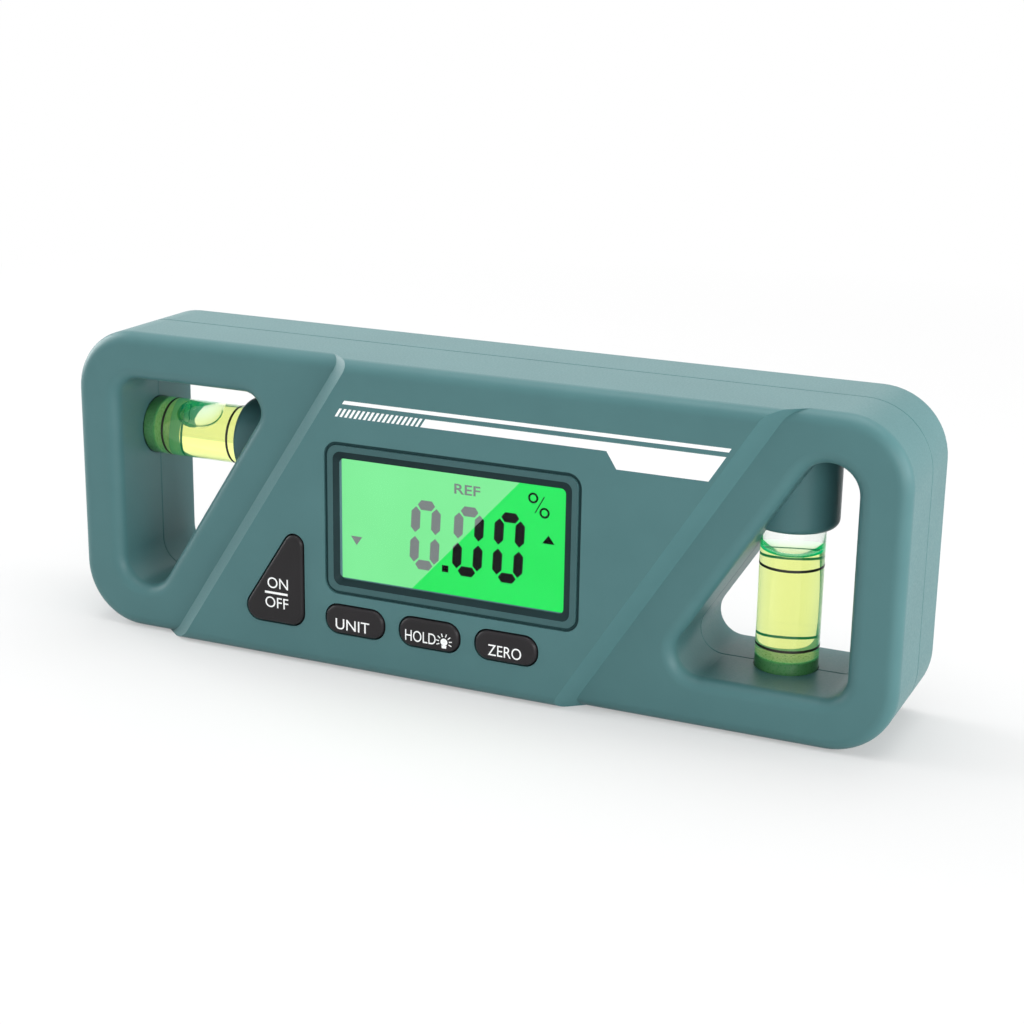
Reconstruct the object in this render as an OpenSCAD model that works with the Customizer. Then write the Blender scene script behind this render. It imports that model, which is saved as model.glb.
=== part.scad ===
// Pocket digital angle gauge: two moulded shells with a slanted window at each end,
// a level vial across one window and a plumb vial up the other, a lit display with
// four keys between them, and two AAA cells behind a hatch in the back.
// Frame: X along the length, Y from front to back, Z up, origin under the middle.

/* [Body] */
// Length of the body
body_width = 155; // [150:0.5:170]
// Height of the body
body_height = 56; // [54:0.5:62]
// Depth of the body, from the raised middle panel to the back
body_depth = 28; // [27.5:0.5:34]
// Corner radius of the body, seen from the front
corner_radius = 11.5; // [9:0.5:13]
// Radius along the front edges and the window edges
edge_radius = 2.25; // [1.5:0.125:2.5]
// Radius along the back edges
back_radius = 1; // [0.5:0.1:1.5]
// Wall of the two shells
wall = 2; // [1.8:0.1:2.4]
// Depth at which the two shells meet
parting_depth = 16.5; // [16:0.25:18]
// Small bevel that draws the parting line
seam_bevel = 0.2; // [0.1:0.05:0.4]

/* [Middle panel] */
// How far the middle panel stands in front of the end frames
panel_step = 2.6; // [1.5:0.1:3]
// Half length of the raised panel at mid height
panel_half = 36.8; // [36:0.2:39]
// Length of the ramp beside the panel
ramp_width = 3.1; // [2:0.1:4]
// Run of the slanted lines, over the rise below
slant_run = 336; // [326:1:346]
// Rise of the slanted lines
slant_rise = 527; // [517:1:537]
// Thickness of the raised panel
panel_wall = 2.2; // [2:0.1:2.4]

/* [Windows] */
// Rail between a window and the end of the body
end_rail = 8.5; // [8:0.25:10]
// Rail between a window and the base or the top
base_rail = 8.6; // [8:0.2:10]
// Distance of the right window's slanted foot from the middle, to the centre of its corner
foot_place = 44.321; // [43.321:0.1:45.321]
// Radius of a window's sharp tip
tip_radius = 5; // [4.5:0.125:5.5]
// Radius of the right window's slanted foot
foot_radius = 4.375; // [3.125:0.125:5]
// Radius of the left window's slanted foot, which is its upper corner
left_foot_radius = 3.3125; // [2.25:0.53125:4.375]
// Radius of a window's square heel
heel_radius = 4; // [3:0.1:5]

/* [Vials] */
// Diameter of the vials
vial_diameter = 10.8; // [10:0.1:11.4]
// Length of the vials
vial_length = 27; // [26:0.5:28]
// Wall of a vial
vial_wall = 1; // [0.8:0.1:1.3]
// Closed end of a vial
vial_end = 1.5; // [1:0.1:2.5]
// Plug in the open end of a vial
plug_length = 2.5; // [2:0.1:4]
// Depth of the seat for the outer end of a vial
seat_depth = 0.6; // [0.4:0.1:1]
// Distance of the plumb vial's axis from the middle of the body
plumb_offset = 55.3; // [54.5:0.1:56]
// Height of the level vial's axis above the middle of the body
level_offset = 7.8; // [7:0.1:8.5]
// Diameter of the socket that takes the inner end of a vial
socket_diameter = 15; // [14.5:0.1:15.6]
// How far a socket stands out of the slanted wall, on its axis
socket_reach = 5; // [4:0.1:6]
// Rounding of a socket's rim
socket_round = 1.5; // [0.8:0.1:2]
// Room around a vial in its seats
vial_fit = 0.1; // [0.05:0.05:0.2]
// Depth of the air over the liquid in the plumb vial, from its plugged end
plumb_level = 21.6; // [20:0.1:22.5]
// Length of the bubble in the level vial
bubble_length = 9.4; // [6:0.1:11]
// Width of that bubble
bubble_width = 6.4; // [5:0.1:7]
// Distance of the bubble's middle from the plugged end
bubble_place = 10.4; // [9:0.1:14]

/* [Display] */
// Length of the groove around the display
bezel_width = 48.2; // [46:0.1:50]
// Distance of the groove around the display from the base and from the top
bezel_margin = 14.2; // [13.8:0.1:15]
// Corner radius of the groove
bezel_radius = 2.6; // [2:0.1:4]
// Width of the groove
groove_width = 0.65; // [0.4:0.05:1]
// Depth of the groove
groove_depth = 0.5; // [0.3:0.05:0.8]
// Flat rim inside the groove
bezel_rim = 1; // [0.6:0.1:1.4]
// Width of the bevel that leads down to the window of the display
bevel_width = 1.2; // [0.8:0.1:1.6]
// Thickness of the clear window
lens_thickness = 1; // [0.8:0.1:1.2]
// Lap of the clear window behind the bevel
lens_lap = 1; // [0.6:0.1:1.4]
// Room around the clear window
lens_fit = 0.1; // [0.05:0.05:0.2]
// Thickness of the liquid crystal cell
cell_glass = 2.2; // [1.8:0.1:2.4]
// Lap of the liquid crystal cell past the clear window
glass_lap = 1; // [0.6:0.1:1.2]
// Thickness of the backlight and of the contact strip beside it
backlight_thickness = 3.2; // [2.8:0.1:3.6]
// Height of the contact strip
strip_height = 1.8; // [1.2:0.1:2.4]
// Wall of the fence that holds the display
fence_wall = 1; // [0.8:0.1:1.2]

/* [Keys] */
// Length of a key in the row
key_width = 11.5; // [10:0.1:12.5]
// Height of a key in the row
key_height = 5.2; // [5:0.1:5.8]
// Corner radius of a key in the row
key_radius = 2.4; // [1.8:0.1:2.4]
// Distance from key to key
key_pitch = 14.55; // [14.2:0.05:15.5]
// Place of the middle key along the body
key_row_x = -3.6; // [-5:0.1:-2]
// Height of the key row above the base
key_row_z = 9.6; // [9:0.1:10]
// Right edge of the power key
power_right = -28.5; // [-30:0.1:-28]
// Lower edge of the power key
power_base = 6.95; // [6.5:0.05:7.5]
// Place of the power key's slanted foot, at the centre of its corner
power_foot = -37.576; // [-38.176:0.1:-36.976]
// Radius of the power key's upper tip
power_tip = 1.875; // [1.625:0.125:2.25]
// Radius of the power key's lower corners
power_round = 2.5; // [2:0.125:3]
// Height of the power switch above the key's lower edge
power_switch_rise = 5.6; // [5:0.1:6]
// Gap around each key
key_gap = 0.25; // [0.15:0.05:0.35]
// How far a key stands out of the panel
key_proud = 0.5; // [0.3:0.1:0.8]
// Rounding of a key's edge
key_round = 0.7; // [0.4:0.1:0.9]
// Travel of a key
key_travel = 0.5; // [0.3:0.05:0.6]
// Width of the flange that keeps a key in
flange_width = 0.75; // [0.5:0.05:1]
// Thickness of that flange
flange_thickness = 1; // [0.7:0.1:1.2]

/* [Circuit board] */
// Thickness of the board
board_thickness = 1.2; // [0.8:0.1:1.6]
// Half length of the board at mid height
board_half = 38; // [37:0.2:40]
// Lower edge of the board
board_base = 5.6; // [5.2:0.1:6]
// Distance of the board's upper edge from the top
board_drop = 11; // [9:0.5:12]
// Room between the board and the screw posts
board_fit = 0.3; // [0.2:0.05:0.5]
// Distance of the board's two inner posts from the middle
post_offset = 30; // [29:0.5:31]
// Height of those posts above and below the middle
post_rise = 8; // [7:0.5:9]
// Distance of the right-hand post from the middle
right_post = 38; // [37:0.5:39]
// Height of the right-hand post above the middle
right_post_rise = 10; // [9:0.5:11]
// Distance of the left-hand post from the middle
left_post = 40.5; // [40:0.1:41]
// Depth of the left-hand post below the middle
left_post_drop = 7; // [6:0.5:8]
// Diameter of the posts under the board
board_post = 3.8; // [3.4:0.1:4.2]
// Shank diameter of the board screws
board_screw = 1.8; // [1.6:0.1:2]
// Head diameter of the board screws
board_screw_head = 3.6; // [3.2:0.1:4]
// Head height of the board screws
board_head_height = 1.2; // [1:0.1:1.4]
// Side of a switch body
switch_side = 6; // [5:0.1:6.4]
// Diameter of a switch stem
switch_stem = 3.2; // [2.8:0.1:3.6]
// Height of a switch stem above its body
stem_height = 1; // [0.8:0.1:1.2]
// Side of the controller chip
chip_side = 10; // [8:0.5:12]
// Thickness of the chips
chip_thickness = 1.5; // [1:0.1:1.8]
// Distance of the controller chip to the left of the middle
chip_offset = 5; // [3:0.5:7]
// Height of the controller chip above the middle
chip_rise = 2; // [1:0.5:3]
// Distance of the tilt sensor to the right of the middle
sensor_offset = 14; // [12:0.5:16]
// Height of the tilt sensor above the middle
sensor_rise = 4; // [3:0.5:5]
// Side of the tilt sensor
sensor_side = 5; // [4:0.5:6]

/* [Battery bay] */
// Diameter of a cell
battery_diameter = 10.5; // [10:0.1:10.6]
// Length of a cell over its contact nub
battery_length = 44.5; // [44:0.1:45]
// Diameter of the contact nub
nub_diameter = 3.8; // [3:0.1:4]
// Length of the contact nub
nub_length = 0.8; // [0.6:0.1:1]
// Room around a cell in the bay
battery_fit = 0.2; // [0.1:0.05:0.3]
// Length of the bay beyond the cells, for the springs
spring_room = 6.5; // [6:0.1:8]
// Thickness of the contact plates
contact_thickness = 0.4; // [0.3:0.05:0.6]
// Side of the contact plates
contact_side = 8; // [7:0.1:9]
// Wire of the contact springs
spring_wire = 0.6; // [0.5:0.05:0.8]
// Turns of a contact spring
spring_turns = 3; // [2:1:4]
// Radius of a contact spring at its plate
spring_radius = 3.8; // [3.4:0.1:4]
// How much that radius shrinks with each turn
spring_taper = 0.5; // [0.3:0.1:0.6]
// Wall around the bay, which is also the ledge under the hatch
bay_wall = 2.8; // [2.6:0.1:3.2]
// Floor of the bay
bay_floor = 1.2; // [1:0.1:1.5]
// Thickness of the hatch
hatch_thickness = 1.6; // [1.4:0.1:1.8]
// How far the hatch laps over the bay, on each side
hatch_lap = 2.4; // [2:0.1:2.5]
// Gap around the hatch
hatch_gap = 0.2; // [0.15:0.05:0.3]
// Width of the hook tabs on the hatch
hook_width = 7; // [5:0.5:9]
// Reach of the hook tabs behind the back wall
hook_reach = 2; // [1.5:0.1:2.4]
// Thickness of the hook tabs
hook_thickness = 1.2; // [1:0.1:1.4]
// Distance between the hook tabs
hook_spacing = 30; // [24:1:36]

/* [Fastening] */
// Diameter of the screw posts
post_diameter = 5.6; // [5.2:0.1:6]
// Shank diameter of the housing screws
screw_shank = 2.2; // [2:0.1:2.5]
// Head diameter of the housing screws
screw_head = 4; // [3.6:0.1:4.2]
// Head height of the housing screws
head_height = 1.6; // [1.2:0.1:2]
// Depth of a screw head under the back
head_depth = 3; // [2.5:0.1:4]
// Length of the slots in a screw head
slot_length = 2.4; // [2:0.1:2.6]
// Width of the slots in a screw head
slot_width = 0.55; // [0.4:0.05:0.7]
// Shank length of the housing screws
screw_length = 15; // [12:0.5:17]
// Room around a screw
screw_fit = 0.1; // [0.05:0.05:0.2]
// Distance of the corner screws from the ends of the body
screw_inset_x = 6.4; // [6:0.1:7]
// Distance of the corner screws from the base and the top
screw_inset_z = 6.5; // [6:0.1:7]
// Distance of the two inner screws from the middle
screw_inner_x = 51; // [49:0.5:52]
// Diameter of the base magnets
magnet_diameter = 8; // [6:0.1:9]
// Thickness of the base magnets
magnet_thickness = 3; // [2:0.1:3.2]
// Distance of the base magnets from the middle
magnet_offset = 44; // [42:0.5:46]
// Depth of the magnets' axis behind the front of the panel
magnet_depth = 9.5; // [9:0.1:10]
// Cover over a magnet in its pocket
magnet_cover = 1.2; // [1:0.1:1.5]

/* [Hidden] */
$fn = 64;
// Extra length of a cut that runs out of a face
over = 0.5;
// Turn of a square corner
quarter = 90;

mid_z = body_height / 2;
slant = atan(slant_run / slant_rise);
// Middle of the whole depth, from the faces of the keys to the back
mid_depth = (body_depth - key_proud) / 2;
frame_inner = panel_step + wall;
lens_front = panel_wall - lens_thickness;
glass_front = panel_wall;
light_front = glass_front + cell_glass;
board_front = light_front + backlight_thickness;
board_back = board_front + board_thickness;
board_top = body_height - board_drop;
board_end = screw_inner_x - post_diameter / 2 - board_fit;
key_back = panel_wall + flange_thickness;
switch_front = key_back + stem_height;

bezel_height = body_height - 2 * bezel_margin;
screen_width = bezel_width - 2 * (groove_width + bezel_rim + bevel_width);
screen_height = bezel_height - 2 * (groove_width + bezel_rim + bevel_width);
lens_width = screen_width + 2 * lens_lap;
lens_height = screen_height + 2 * lens_lap;
glass_width = lens_width + 2 * glass_lap;
glass_height = lens_height + 2 * glass_lap;
strip_z = mid_z + glass_height / 2 - strip_height;

hatch_inner = body_depth - hatch_thickness;
battery_depth = hatch_inner - battery_fit - battery_diameter / 2;
bay_front = battery_depth - battery_diameter / 2 - battery_fit;
bay_length = battery_length + spring_room;
bay_height = 2 * battery_diameter + 3 * battery_fit;
battery_rise = (battery_diameter + battery_fit) / 2;
hatch_width = bay_length + 2 * hatch_lap;
hatch_height = bay_height + 2 * hatch_lap;
hatch_base = mid_z - hatch_height / 2;
contact_face = bay_length / 2 - contact_thickness;

seat_x = body_width / 2 - end_rail;
vial_radius = vial_diameter / 2;
level_z = mid_z + level_offset;
socket_radius = socket_diameter / 2;

head_seat = body_depth - head_depth - head_height;
screw_places = [
    for (x = [-1, 1], z = [-1, 1]) [x * (body_width / 2 - screw_inset_x), mid_z + z * (mid_z - screw_inset_z)],
    [screw_inner_x, body_height - screw_inset_z],
    [-screw_inner_x, screw_inset_z]
];
board_places = [
    [-post_offset, mid_z + post_rise], [post_offset, mid_z - post_rise],
    [right_post, mid_z + right_post_rise], [-left_post, mid_z - left_post_drop]
];
row_places = [for (i = [-1, 0, 1]) [key_row_x + i * key_pitch, key_row_z]];
power_place = [(power_right + power_foot) / 2, power_base + power_switch_rise];

shell_colour = [0.34, 0.51, 0.52];
key_colour = [0.13, 0.12, 0.13];
liquid_colour = [0.86, 0.95, 0.35];
metal_colour = [0.78, 0.78, 0.76];

// Direction at an angle in the XZ plane
function dir(a) = [cos(a), sin(a)];
// Place along X of a leaning line that passes x0 at mid height
function lean(x0, z) = x0 + (z - mid_z) * tan(slant);
// Height at which the slanted wall of the right window passes x
function lean_z(x) = mid_z + (x - slant_half) / tan(slant);
// Height of a tip's centre, for a slanted side that touches the tip's and the foot's circle
function tip_height(tip_x, tip_r, foot, foot_r) =
    foot.y + (foot_r - tip_r + (tip_x - foot.x) * cos(slant)) / sin(slant);

// Corners of a rectangle: side along X, side along Z, start angle of its round
corners = [[1, 1, 0], [-1, 1, quarter], [-1, -1, 2 * quarter], [1, -1, 3 * quarter]];
// Rounded outline as corners: centre, radius, start angle, turn
outline = [
    for (c = corners)
        [[c.x * (body_width / 2 - corner_radius), mid_z + c.y * (mid_z - corner_radius)],
         corner_radius, c.z, quarter]
];
foot_centre = [foot_place, base_rail + foot_radius];
tip_x = seat_x - tip_radius;
tip_centre = [tip_x, tip_height(tip_x, tip_radius, foot_centre, foot_radius)];
slant_half = foot_centre.x - foot_radius / cos(slant) + (mid_z - foot_centre.y) * tan(slant);
heel_centre = [seat_x - heel_radius, base_rail + heel_radius];
function window_path(foot, r) = [
    [heel_centre, heel_radius, -quarter, quarter],
    [tip_centre, tip_radius, 0, 2 * quarter - slant],
    [foot, r, 2 * quarter - slant, quarter + slant]
];
window = window_path(foot_centre, foot_radius);
// The left window before its half turn: its foot touches the same slanted line
foot_shrink = left_foot_radius - foot_radius;
left_foot_centre = foot_centre + foot_shrink * [1 / cos(slant) + tan(slant), 1];
left_window = window_path(left_foot_centre, left_foot_radius);
// The power key's outline has the same lean as the ramps
power_foot_centre = [power_foot, power_base + power_round];
power_tip_x = power_right - power_tip;
power_outline = [
    [[power_right - power_round, power_base + power_round], power_round, -quarter, quarter],
    [[power_tip_x, tip_height(power_tip_x, power_tip, power_foot_centre, power_round)],
     power_tip, 0, 2 * quarter - slant],
    [power_foot_centre, power_round, 2 * quarter - slant, quarter + slant]
];

// Flat shape inside a rounded outline, grown by o
module rounded(path, o = 0) {
    for (c = path) translate(c[0]) circle(c[1] + o);
    polygon([
        for (c = path) each [c[0] + (c[1] + o) * dir(c[2]), c[0] + (c[1] + o) * dir(c[2] + c[3])]
    ]);
}

// Rounded rectangle about the origin
module plate_2d(w, h, r) {
    square([w, h - 2 * r], center = true);
    square([w - 2 * r, h], center = true);
    for (x = [-1, 1], z = [-1, 1]) translate([x * (w / 2 - r), z * (h / 2 - r)]) circle(r);
}

// Extrude a flat XZ shape between two depths
module slab(front, back) {
    translate([0, back - mid_depth, 0]) rotate([90, 0, 0]) linear_extrude(back - front) children();
}

// Round bar along Y between two depths
module bar(place, front, back, diameter) {
    slab(front, back) translate(place) circle(d = diameter);
}

// Sweep a wall section around an outline; the section is drawn as (outward, depth)
module sweep(path) {
    for (i = [0:len(path) - 1]) {
        c = path[i];
        next = path[(i + 1) % len(path)];
        a = c[2] + c[3];
        from = c[0] + c[1] * dir(a);
        to = next[0] + next[1] * dir(a);
        translate([c[0].x, 0, c[0].y]) rotate([90, 0, 0]) intersection() {
            rotate([0, 0, c[2]]) rotate_extrude(angle = 180)
                translate([c[1], mid_depth]) mirror([0, 1]) children();
            rotate([0, 0, a]) translate([-body_height, -body_height, -body_height])
                cube([2 * body_height, body_height, 2 * body_height]);
        }
        translate([to.x, 0, to.y]) rotate([0, -a, 0]) rotate([180, 0, 0])
            linear_extrude(norm(to - from)) translate([0, mid_depth]) mirror([0, 1]) children();
    }
}

// Half turn about the middle, which takes the right window to the left one
module half_turn() {
    translate([0, 0, mid_z]) rotate([0, 180, 0]) translate([0, 0, -mid_z]) children();
}

// Waste of a rounded edge, in a corner with its material towards positive X and Y
module corner_waste(r) {
    difference() {
        translate([-over, -over]) square(r + over);
        translate([r, r]) circle(r);
    }
}
// Waste of a bevelled edge, in the same corner
module bevel_waste(e) {
    polygon([[-over, -over], [e + over, -over], [-over, e + over]]);
}

// Flat shape of the body less its windows, with all walls drawn in by o
module frame_2d(o = 0) {
    difference() {
        rounded(outline, -o);
        rounded(window, o);
        translate([0, mid_z]) rotate(2 * quarter) translate([0, -mid_z]) rounded(left_window, o);
    }
}

// Cut the same waste from the outer edge and from both window edges, at one depth
module edge_cuts(depth) {
    sweep(outline) translate([0, depth]) mirror([1, 0]) children();
    sweep(window) translate([0, depth]) children();
    half_turn() sweep(left_window) translate([0, depth]) children();
}

// Leaning bar with a cross-section in (across, depth), long enough for the whole height
module leaning() {
    length = body_height / cos(slant) + 4 * panel_half;
    translate([0, 0, mid_z]) rotate([0, slant, 0]) translate([0, 0, -length / 2])
        linear_extrude(length) translate([0, -mid_depth]) children();
}

// Section of the raised panel across its lean, with ramps that run on below the frame's face
module panel_section(half, ramp, front, back, slope_depth) {
    run = ramp * (back - front) / slope_depth;
    polygon([[-half, front], [half, front], [half + run, back], [-half - run, back]]);
}

// Raised middle panel with rounded upper and lower edges
module raised_panel() {
    back = panel_step + edge_radius + seam_bevel;
    intersection() {
        leaning() panel_section(panel_half * cos(slant), ramp_width * cos(slant), 0, back, panel_step);
        translate([body_width / 2, -mid_depth, mid_z]) rotate([0, -90, 0]) linear_extrude(body_width)
            difference() {
                translate([-mid_z, 0]) square([body_height, back]);
                for (side = [0, 1]) mirror([side, 0]) translate([-mid_z, 0]) corner_waste(edge_radius);
            }
    }
}

// Room behind the raised panel
module panel_hollow() {
    half = (panel_half - wall) * cos(slant);
    intersection() {
        leaning() translate([-half, panel_wall]) square([2 * half, frame_inner - panel_wall + over]);
        translate([-body_width / 2, -mid_depth, wall])
            cube([body_width, frame_inner + 2 * over, body_height - 2 * wall]);
    }
}

// Rectangular opening that narrows with depth
module bevelled_opening(w, h, front, back) {
    spread = bevel_width * (back - front + over) / (back - front);
    module side(size, length) {
        linear_extrude(length, center = true) polygon([
            [-size / 2 - spread, front - over], [size / 2 + spread, front - over],
            [size / 2, back], [-size / 2, back]
        ]);
    }
    translate([0, -mid_depth, mid_z]) intersection() {
        side(w, 2 * h);
        rotate([0, 90, 0]) side(h, 2 * w);
    }
}

// Everything the display takes out of the panel
module display_cuts() {
    bevelled_opening(screen_width, screen_height, 0, lens_front);
    translate([0, 0, mid_z]) slab(lens_front, panel_wall + over)
        plate_2d(lens_width + 2 * lens_fit, lens_height + 2 * lens_fit, lens_lap);
    translate([0, 0, mid_z]) slab(-over, groove_depth) difference() {
        plate_2d(bezel_width, bezel_height, bezel_radius);
        plate_2d(bezel_width - 2 * groove_width, bezel_height - 2 * groove_width, bezel_radius - groove_width);
    }
}

// Fence that locates the display behind the panel
module display_fence() {
    inner = [glass_width + 2 * lens_fit, glass_height + 2 * lens_fit];
    translate([0, 0, mid_z]) slab(panel_wall - over, light_front) difference() {
        square(inner + 2 * fence_wall * [1, 1], center = true);
        square(inner, center = true);
    }
}

// Outline of the key in the row at index i
function key_outline(i) = [
    for (c = corners)
        [row_places[i] + [c.x * (key_width / 2 - key_radius), c.y * (key_height / 2 - key_radius)],
         key_radius, c.z, quarter]
];

// Axes of the two vials, seen from their plugged outer end
module on_level_axis() {
    translate([-seat_x - seat_depth, parting_depth - mid_depth, level_z]) rotate([0, 90, 0]) children();
}
module on_plumb_axis() {
    translate([plumb_offset, parting_depth - mid_depth, base_rail - seat_depth]) children();
}
level_face = seat_x + seat_depth + lean(-slant_half, level_z) - socket_reach;
plumb_face = lean_z(plumb_offset) - socket_reach - base_rail + seat_depth;
socket_length = body_height / 2;

// Rounded socket bar, from its rim inwards
module socket_bar(face) {
    rotate_extrude() difference() {
        translate([0, face]) square([socket_radius, socket_length]);
        translate([socket_radius, face]) mirror([1, 0]) corner_waste(socket_round);
    }
}
// Cup that closes a socket behind the vial
module socket_cup(face) {
    translate([0, 0, face + socket_round])
        cylinder(r = vial_radius + wall, h = vial_length - face - socket_round + wall);
}
module vial_room() {
    cylinder(d = vial_diameter + 2 * vial_fit, h = vial_length + vial_fit);
}
// Both sockets, trimmed to the window walls and to the depth of one shell
module sockets(front, back) {
    intersection() {
        union() {
            intersection() {
                on_plumb_axis() socket_bar(plumb_face);
                slab(front, back) rounded(window, wall);
            }
            on_plumb_axis() socket_cup(plumb_face);
            intersection() {
                on_level_axis() socket_bar(level_face);
                half_turn() slab(front, back) rounded(left_window, wall);
            }
            on_level_axis() socket_cup(level_face);
        }
        slab(front, back) rounded(outline, -wall);
    }
}

// Room for the screws of the housing
module screw_room(front, back, diameter) {
    for (place = screw_places) bar(place, front, back, diameter + 2 * screw_fit);
}

// Front shell: frames, raised panel, display and key openings, posts and magnet pockets
module front_housing() {
    screw_tip = head_seat - screw_length;
    color(shell_colour) difference() {
        union() {
            difference() {
                slab(panel_step, parting_depth) frame_2d();
                slab(frame_inner, parting_depth + over) frame_2d(wall);
                edge_cuts(panel_step) corner_waste(edge_radius);
                edge_cuts(parting_depth) mirror([0, 1]) bevel_waste(seam_bevel);
            }
            difference() {
                raised_panel();
                panel_hollow();
            }
            display_fence();
            sockets(frame_inner, parting_depth);
            for (place = screw_places) bar(place, panel_step + over, parting_depth, post_diameter);
            for (place = board_places) bar(place, panel_wall - over, board_front, board_post);
            for (side = [-1, 1]) translate([side * magnet_offset, magnet_depth - mid_depth, wall / 2])
                cylinder(d = magnet_diameter + 2 * wall, h = magnet_thickness + magnet_cover - wall / 2);
        }
        panel_hollow_cover();
        display_cuts();
        for (i = [0:2]) slab(-over, panel_wall + over) rounded(key_outline(i), key_gap);
        slab(-over, panel_wall + over) rounded(power_outline, key_gap);
        screw_room(screw_tip - over, parting_depth + over, screw_shank);
        for (place = board_places) bar(place, panel_wall + over, board_front + over, board_screw + 2 * screw_fit);
        on_level_axis() vial_room();
        on_plumb_axis() vial_room();
        for (side = [-1, 1]) translate([side * magnet_offset, magnet_depth - mid_depth, -over])
            cylinder(d = magnet_diameter + 2 * screw_fit, h = magnet_thickness + over);
    }
}

// Cover behind the raised panel, cut away for the display and the keys
module panel_hollow_cover() {
    difference() {
        panel_hollow();
        display_fence();
        for (place = board_places) bar(place, 0, board_front, board_post);
    }
}

// Back shell: frames, battery bay, screw posts and hook pockets
module rear_housing() {
    bay_outer = [bay_length + 2 * bay_wall, bay_height + 2 * bay_wall];
    color(shell_colour) difference() {
        union() {
            difference() {
                slab(parting_depth, body_depth) frame_2d();
                slab(parting_depth - over, body_depth - wall) frame_2d(wall);
                edge_cuts(body_depth) mirror([0, 1]) corner_waste(back_radius);
                edge_cuts(parting_depth) bevel_waste(seam_bevel);
            }
            sockets(parting_depth, body_depth - wall);
            for (place = screw_places) bar(place, parting_depth, body_depth - wall / 2, post_diameter);
            translate([0, 0, mid_z]) slab(bay_front - bay_floor, body_depth - wall / 2)
                square(bay_outer, center = true);
        }
        translate([0, 0, mid_z]) slab(bay_front, body_depth + over)
            square([bay_length, bay_height], center = true);
        translate([0, 0, mid_z]) slab(hatch_inner, body_depth + over)
            square([hatch_width + 2 * hatch_gap, hatch_height + 2 * hatch_gap], center = true);
        translate([0, 0, mid_z + hatch_height / 2]) slab(hatch_inner, body_depth + over)
            intersection() {
                circle(d = hook_width);
                translate([-hook_width, 0]) square([2 * hook_width, hook_width]);
            }
        for (side = [-1, 1]) hook_pocket(side * hook_spacing / 2);
        for (z = [-1, 1]) tail_slot(z * battery_rise);
        screw_room(parting_depth - over, head_seat + over, screw_shank);
        screw_room(head_seat, body_depth + over, screw_head);
        on_level_axis() vial_room();
        on_plumb_axis() vial_room();
    }
}

// Room in which a hook tab swings as the hatch opens
module hook_pocket(x) {
    reach = norm([hatch_thickness + hook_thickness + over, hook_reach]) + 2 * hatch_gap;
    width = hook_width + 2 * hatch_gap;
    translate([x - width / 2, body_depth - mid_depth, hatch_base]) rotate([0, 90, 0]) intersection() {
        cylinder(r = reach + over, h = width);
        union() {
            translate([-2 * reach, -2 * reach, 0]) cube([4 * reach, 2 * reach - wall, width]);
            translate([-2 * reach, -2 * reach, 0])
                cube([2 * reach + hatch_gap, 2 * reach - hatch_thickness + over, width]);
        }
    }
}

// Slot in the bay's floor for the solder tail of an end contact
module tail_slot(rise) {
    side = contact_side / 2 + 2 * battery_fit;
    translate([bay_length / 2 - contact_thickness - battery_fit, bay_front - bay_floor - over - mid_depth,
               mid_z + rise - side / 2])
        cube([contact_thickness + battery_fit, bay_floor + 2 * over, side]);
}

// Self-tapping screws that join the shells
module housing_screws() {
    color(metal_colour) for (place = screw_places) difference() {
        union() {
            bar(place, head_seat - screw_length, head_seat + over, screw_shank);
            bar(place, head_seat, head_seat + head_height, screw_head);
        }
        for (turn = [0, 90]) slab(head_seat + head_height / 2, head_seat + head_height + over)
            translate(place) rotate(turn) square([slot_length, slot_width], center = true);
    }
}

// Clear window over the display
module display_lens() {
    color([0.85, 0.95, 0.9]) translate([0, 0, mid_z]) slab(lens_front, panel_wall)
        plate_2d(lens_width, lens_height, lens_lap - lens_fit);
}

// Liquid crystal cell: two sheets of glass, the front one shorter at the contact ledge
module lcd_cell() {
    color([0.55, 0.9, 0.65]) translate([0, 0, mid_z]) difference() {
        slab(glass_front, light_front) square([glass_width, glass_height], center = true);
        translate([0, 0, glass_height / 2]) slab(glass_front + cell_glass / 2, light_front + over)
            square([glass_width + over, 2 * strip_height + 2 * lens_fit], center = true);
    }
}

// Light guide that lights the display from behind
module backlight() {
    height = glass_height - strip_height - fence_wall;
    color([0.9, 0.95, 0.9]) translate([0, 0, mid_z - (glass_height - height) / 2]) slab(light_front, board_front)
        square([glass_width, height], center = true);
}

// Rubber contact strip between the ledge of the cell and the board
module lcd_contact_strip() {
    color([0.2, 0.2, 0.22]) slab(glass_front + cell_glass / 2, board_front)
        translate([0, strip_z + strip_height / 2]) square([screen_width, strip_height], center = true);
}

// Key: cap with a rounded edge, and a flange that keeps it behind the panel
module key(path) {
    color(key_colour) union() {
        difference() {
            slab(-key_proud, key_back) rounded(path);
            sweep(path) translate([0, -key_proud]) mirror([1, 0]) corner_waste(key_round);
        }
        slab(panel_wall, key_back) rounded(path, flange_width);
    }
}
module unit_key() {
    key(key_outline(0));
}
module hold_key() {
    key(key_outline(1));
}
module zero_key() {
    key(key_outline(2));
}
module power_key() {
    key(power_outline);
}

// Board with the lean of the panel, blunted where it meets the inner screw posts
module circuit_board() {
    color([0.1, 0.4, 0.25]) difference() {
        intersection() {
            slab(board_front, board_back) polygon([
                [lean(-board_half, board_base), board_base], [lean(board_half, board_base), board_base],
                [lean(board_half, board_top), board_top], [lean(-board_half, board_top), board_top]
            ]);
            slab(board_front - over, board_back + over) translate([0, mid_z])
                square([2 * board_end, body_height], center = true);
        }
        for (place = board_places) bar(place, board_front - over, board_back + over, board_screw + 2 * screw_fit);
    }
}

// Pan-head screws that hold the board on its posts
module board_screws() {
    length = board_front - panel_wall - 2 * over;
    color(metal_colour) for (place = board_places) {
        bar(place, board_front - length, board_back + over, board_screw);
        bar(place, board_back, board_back + board_head_height, board_screw_head);
    }
}

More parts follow.
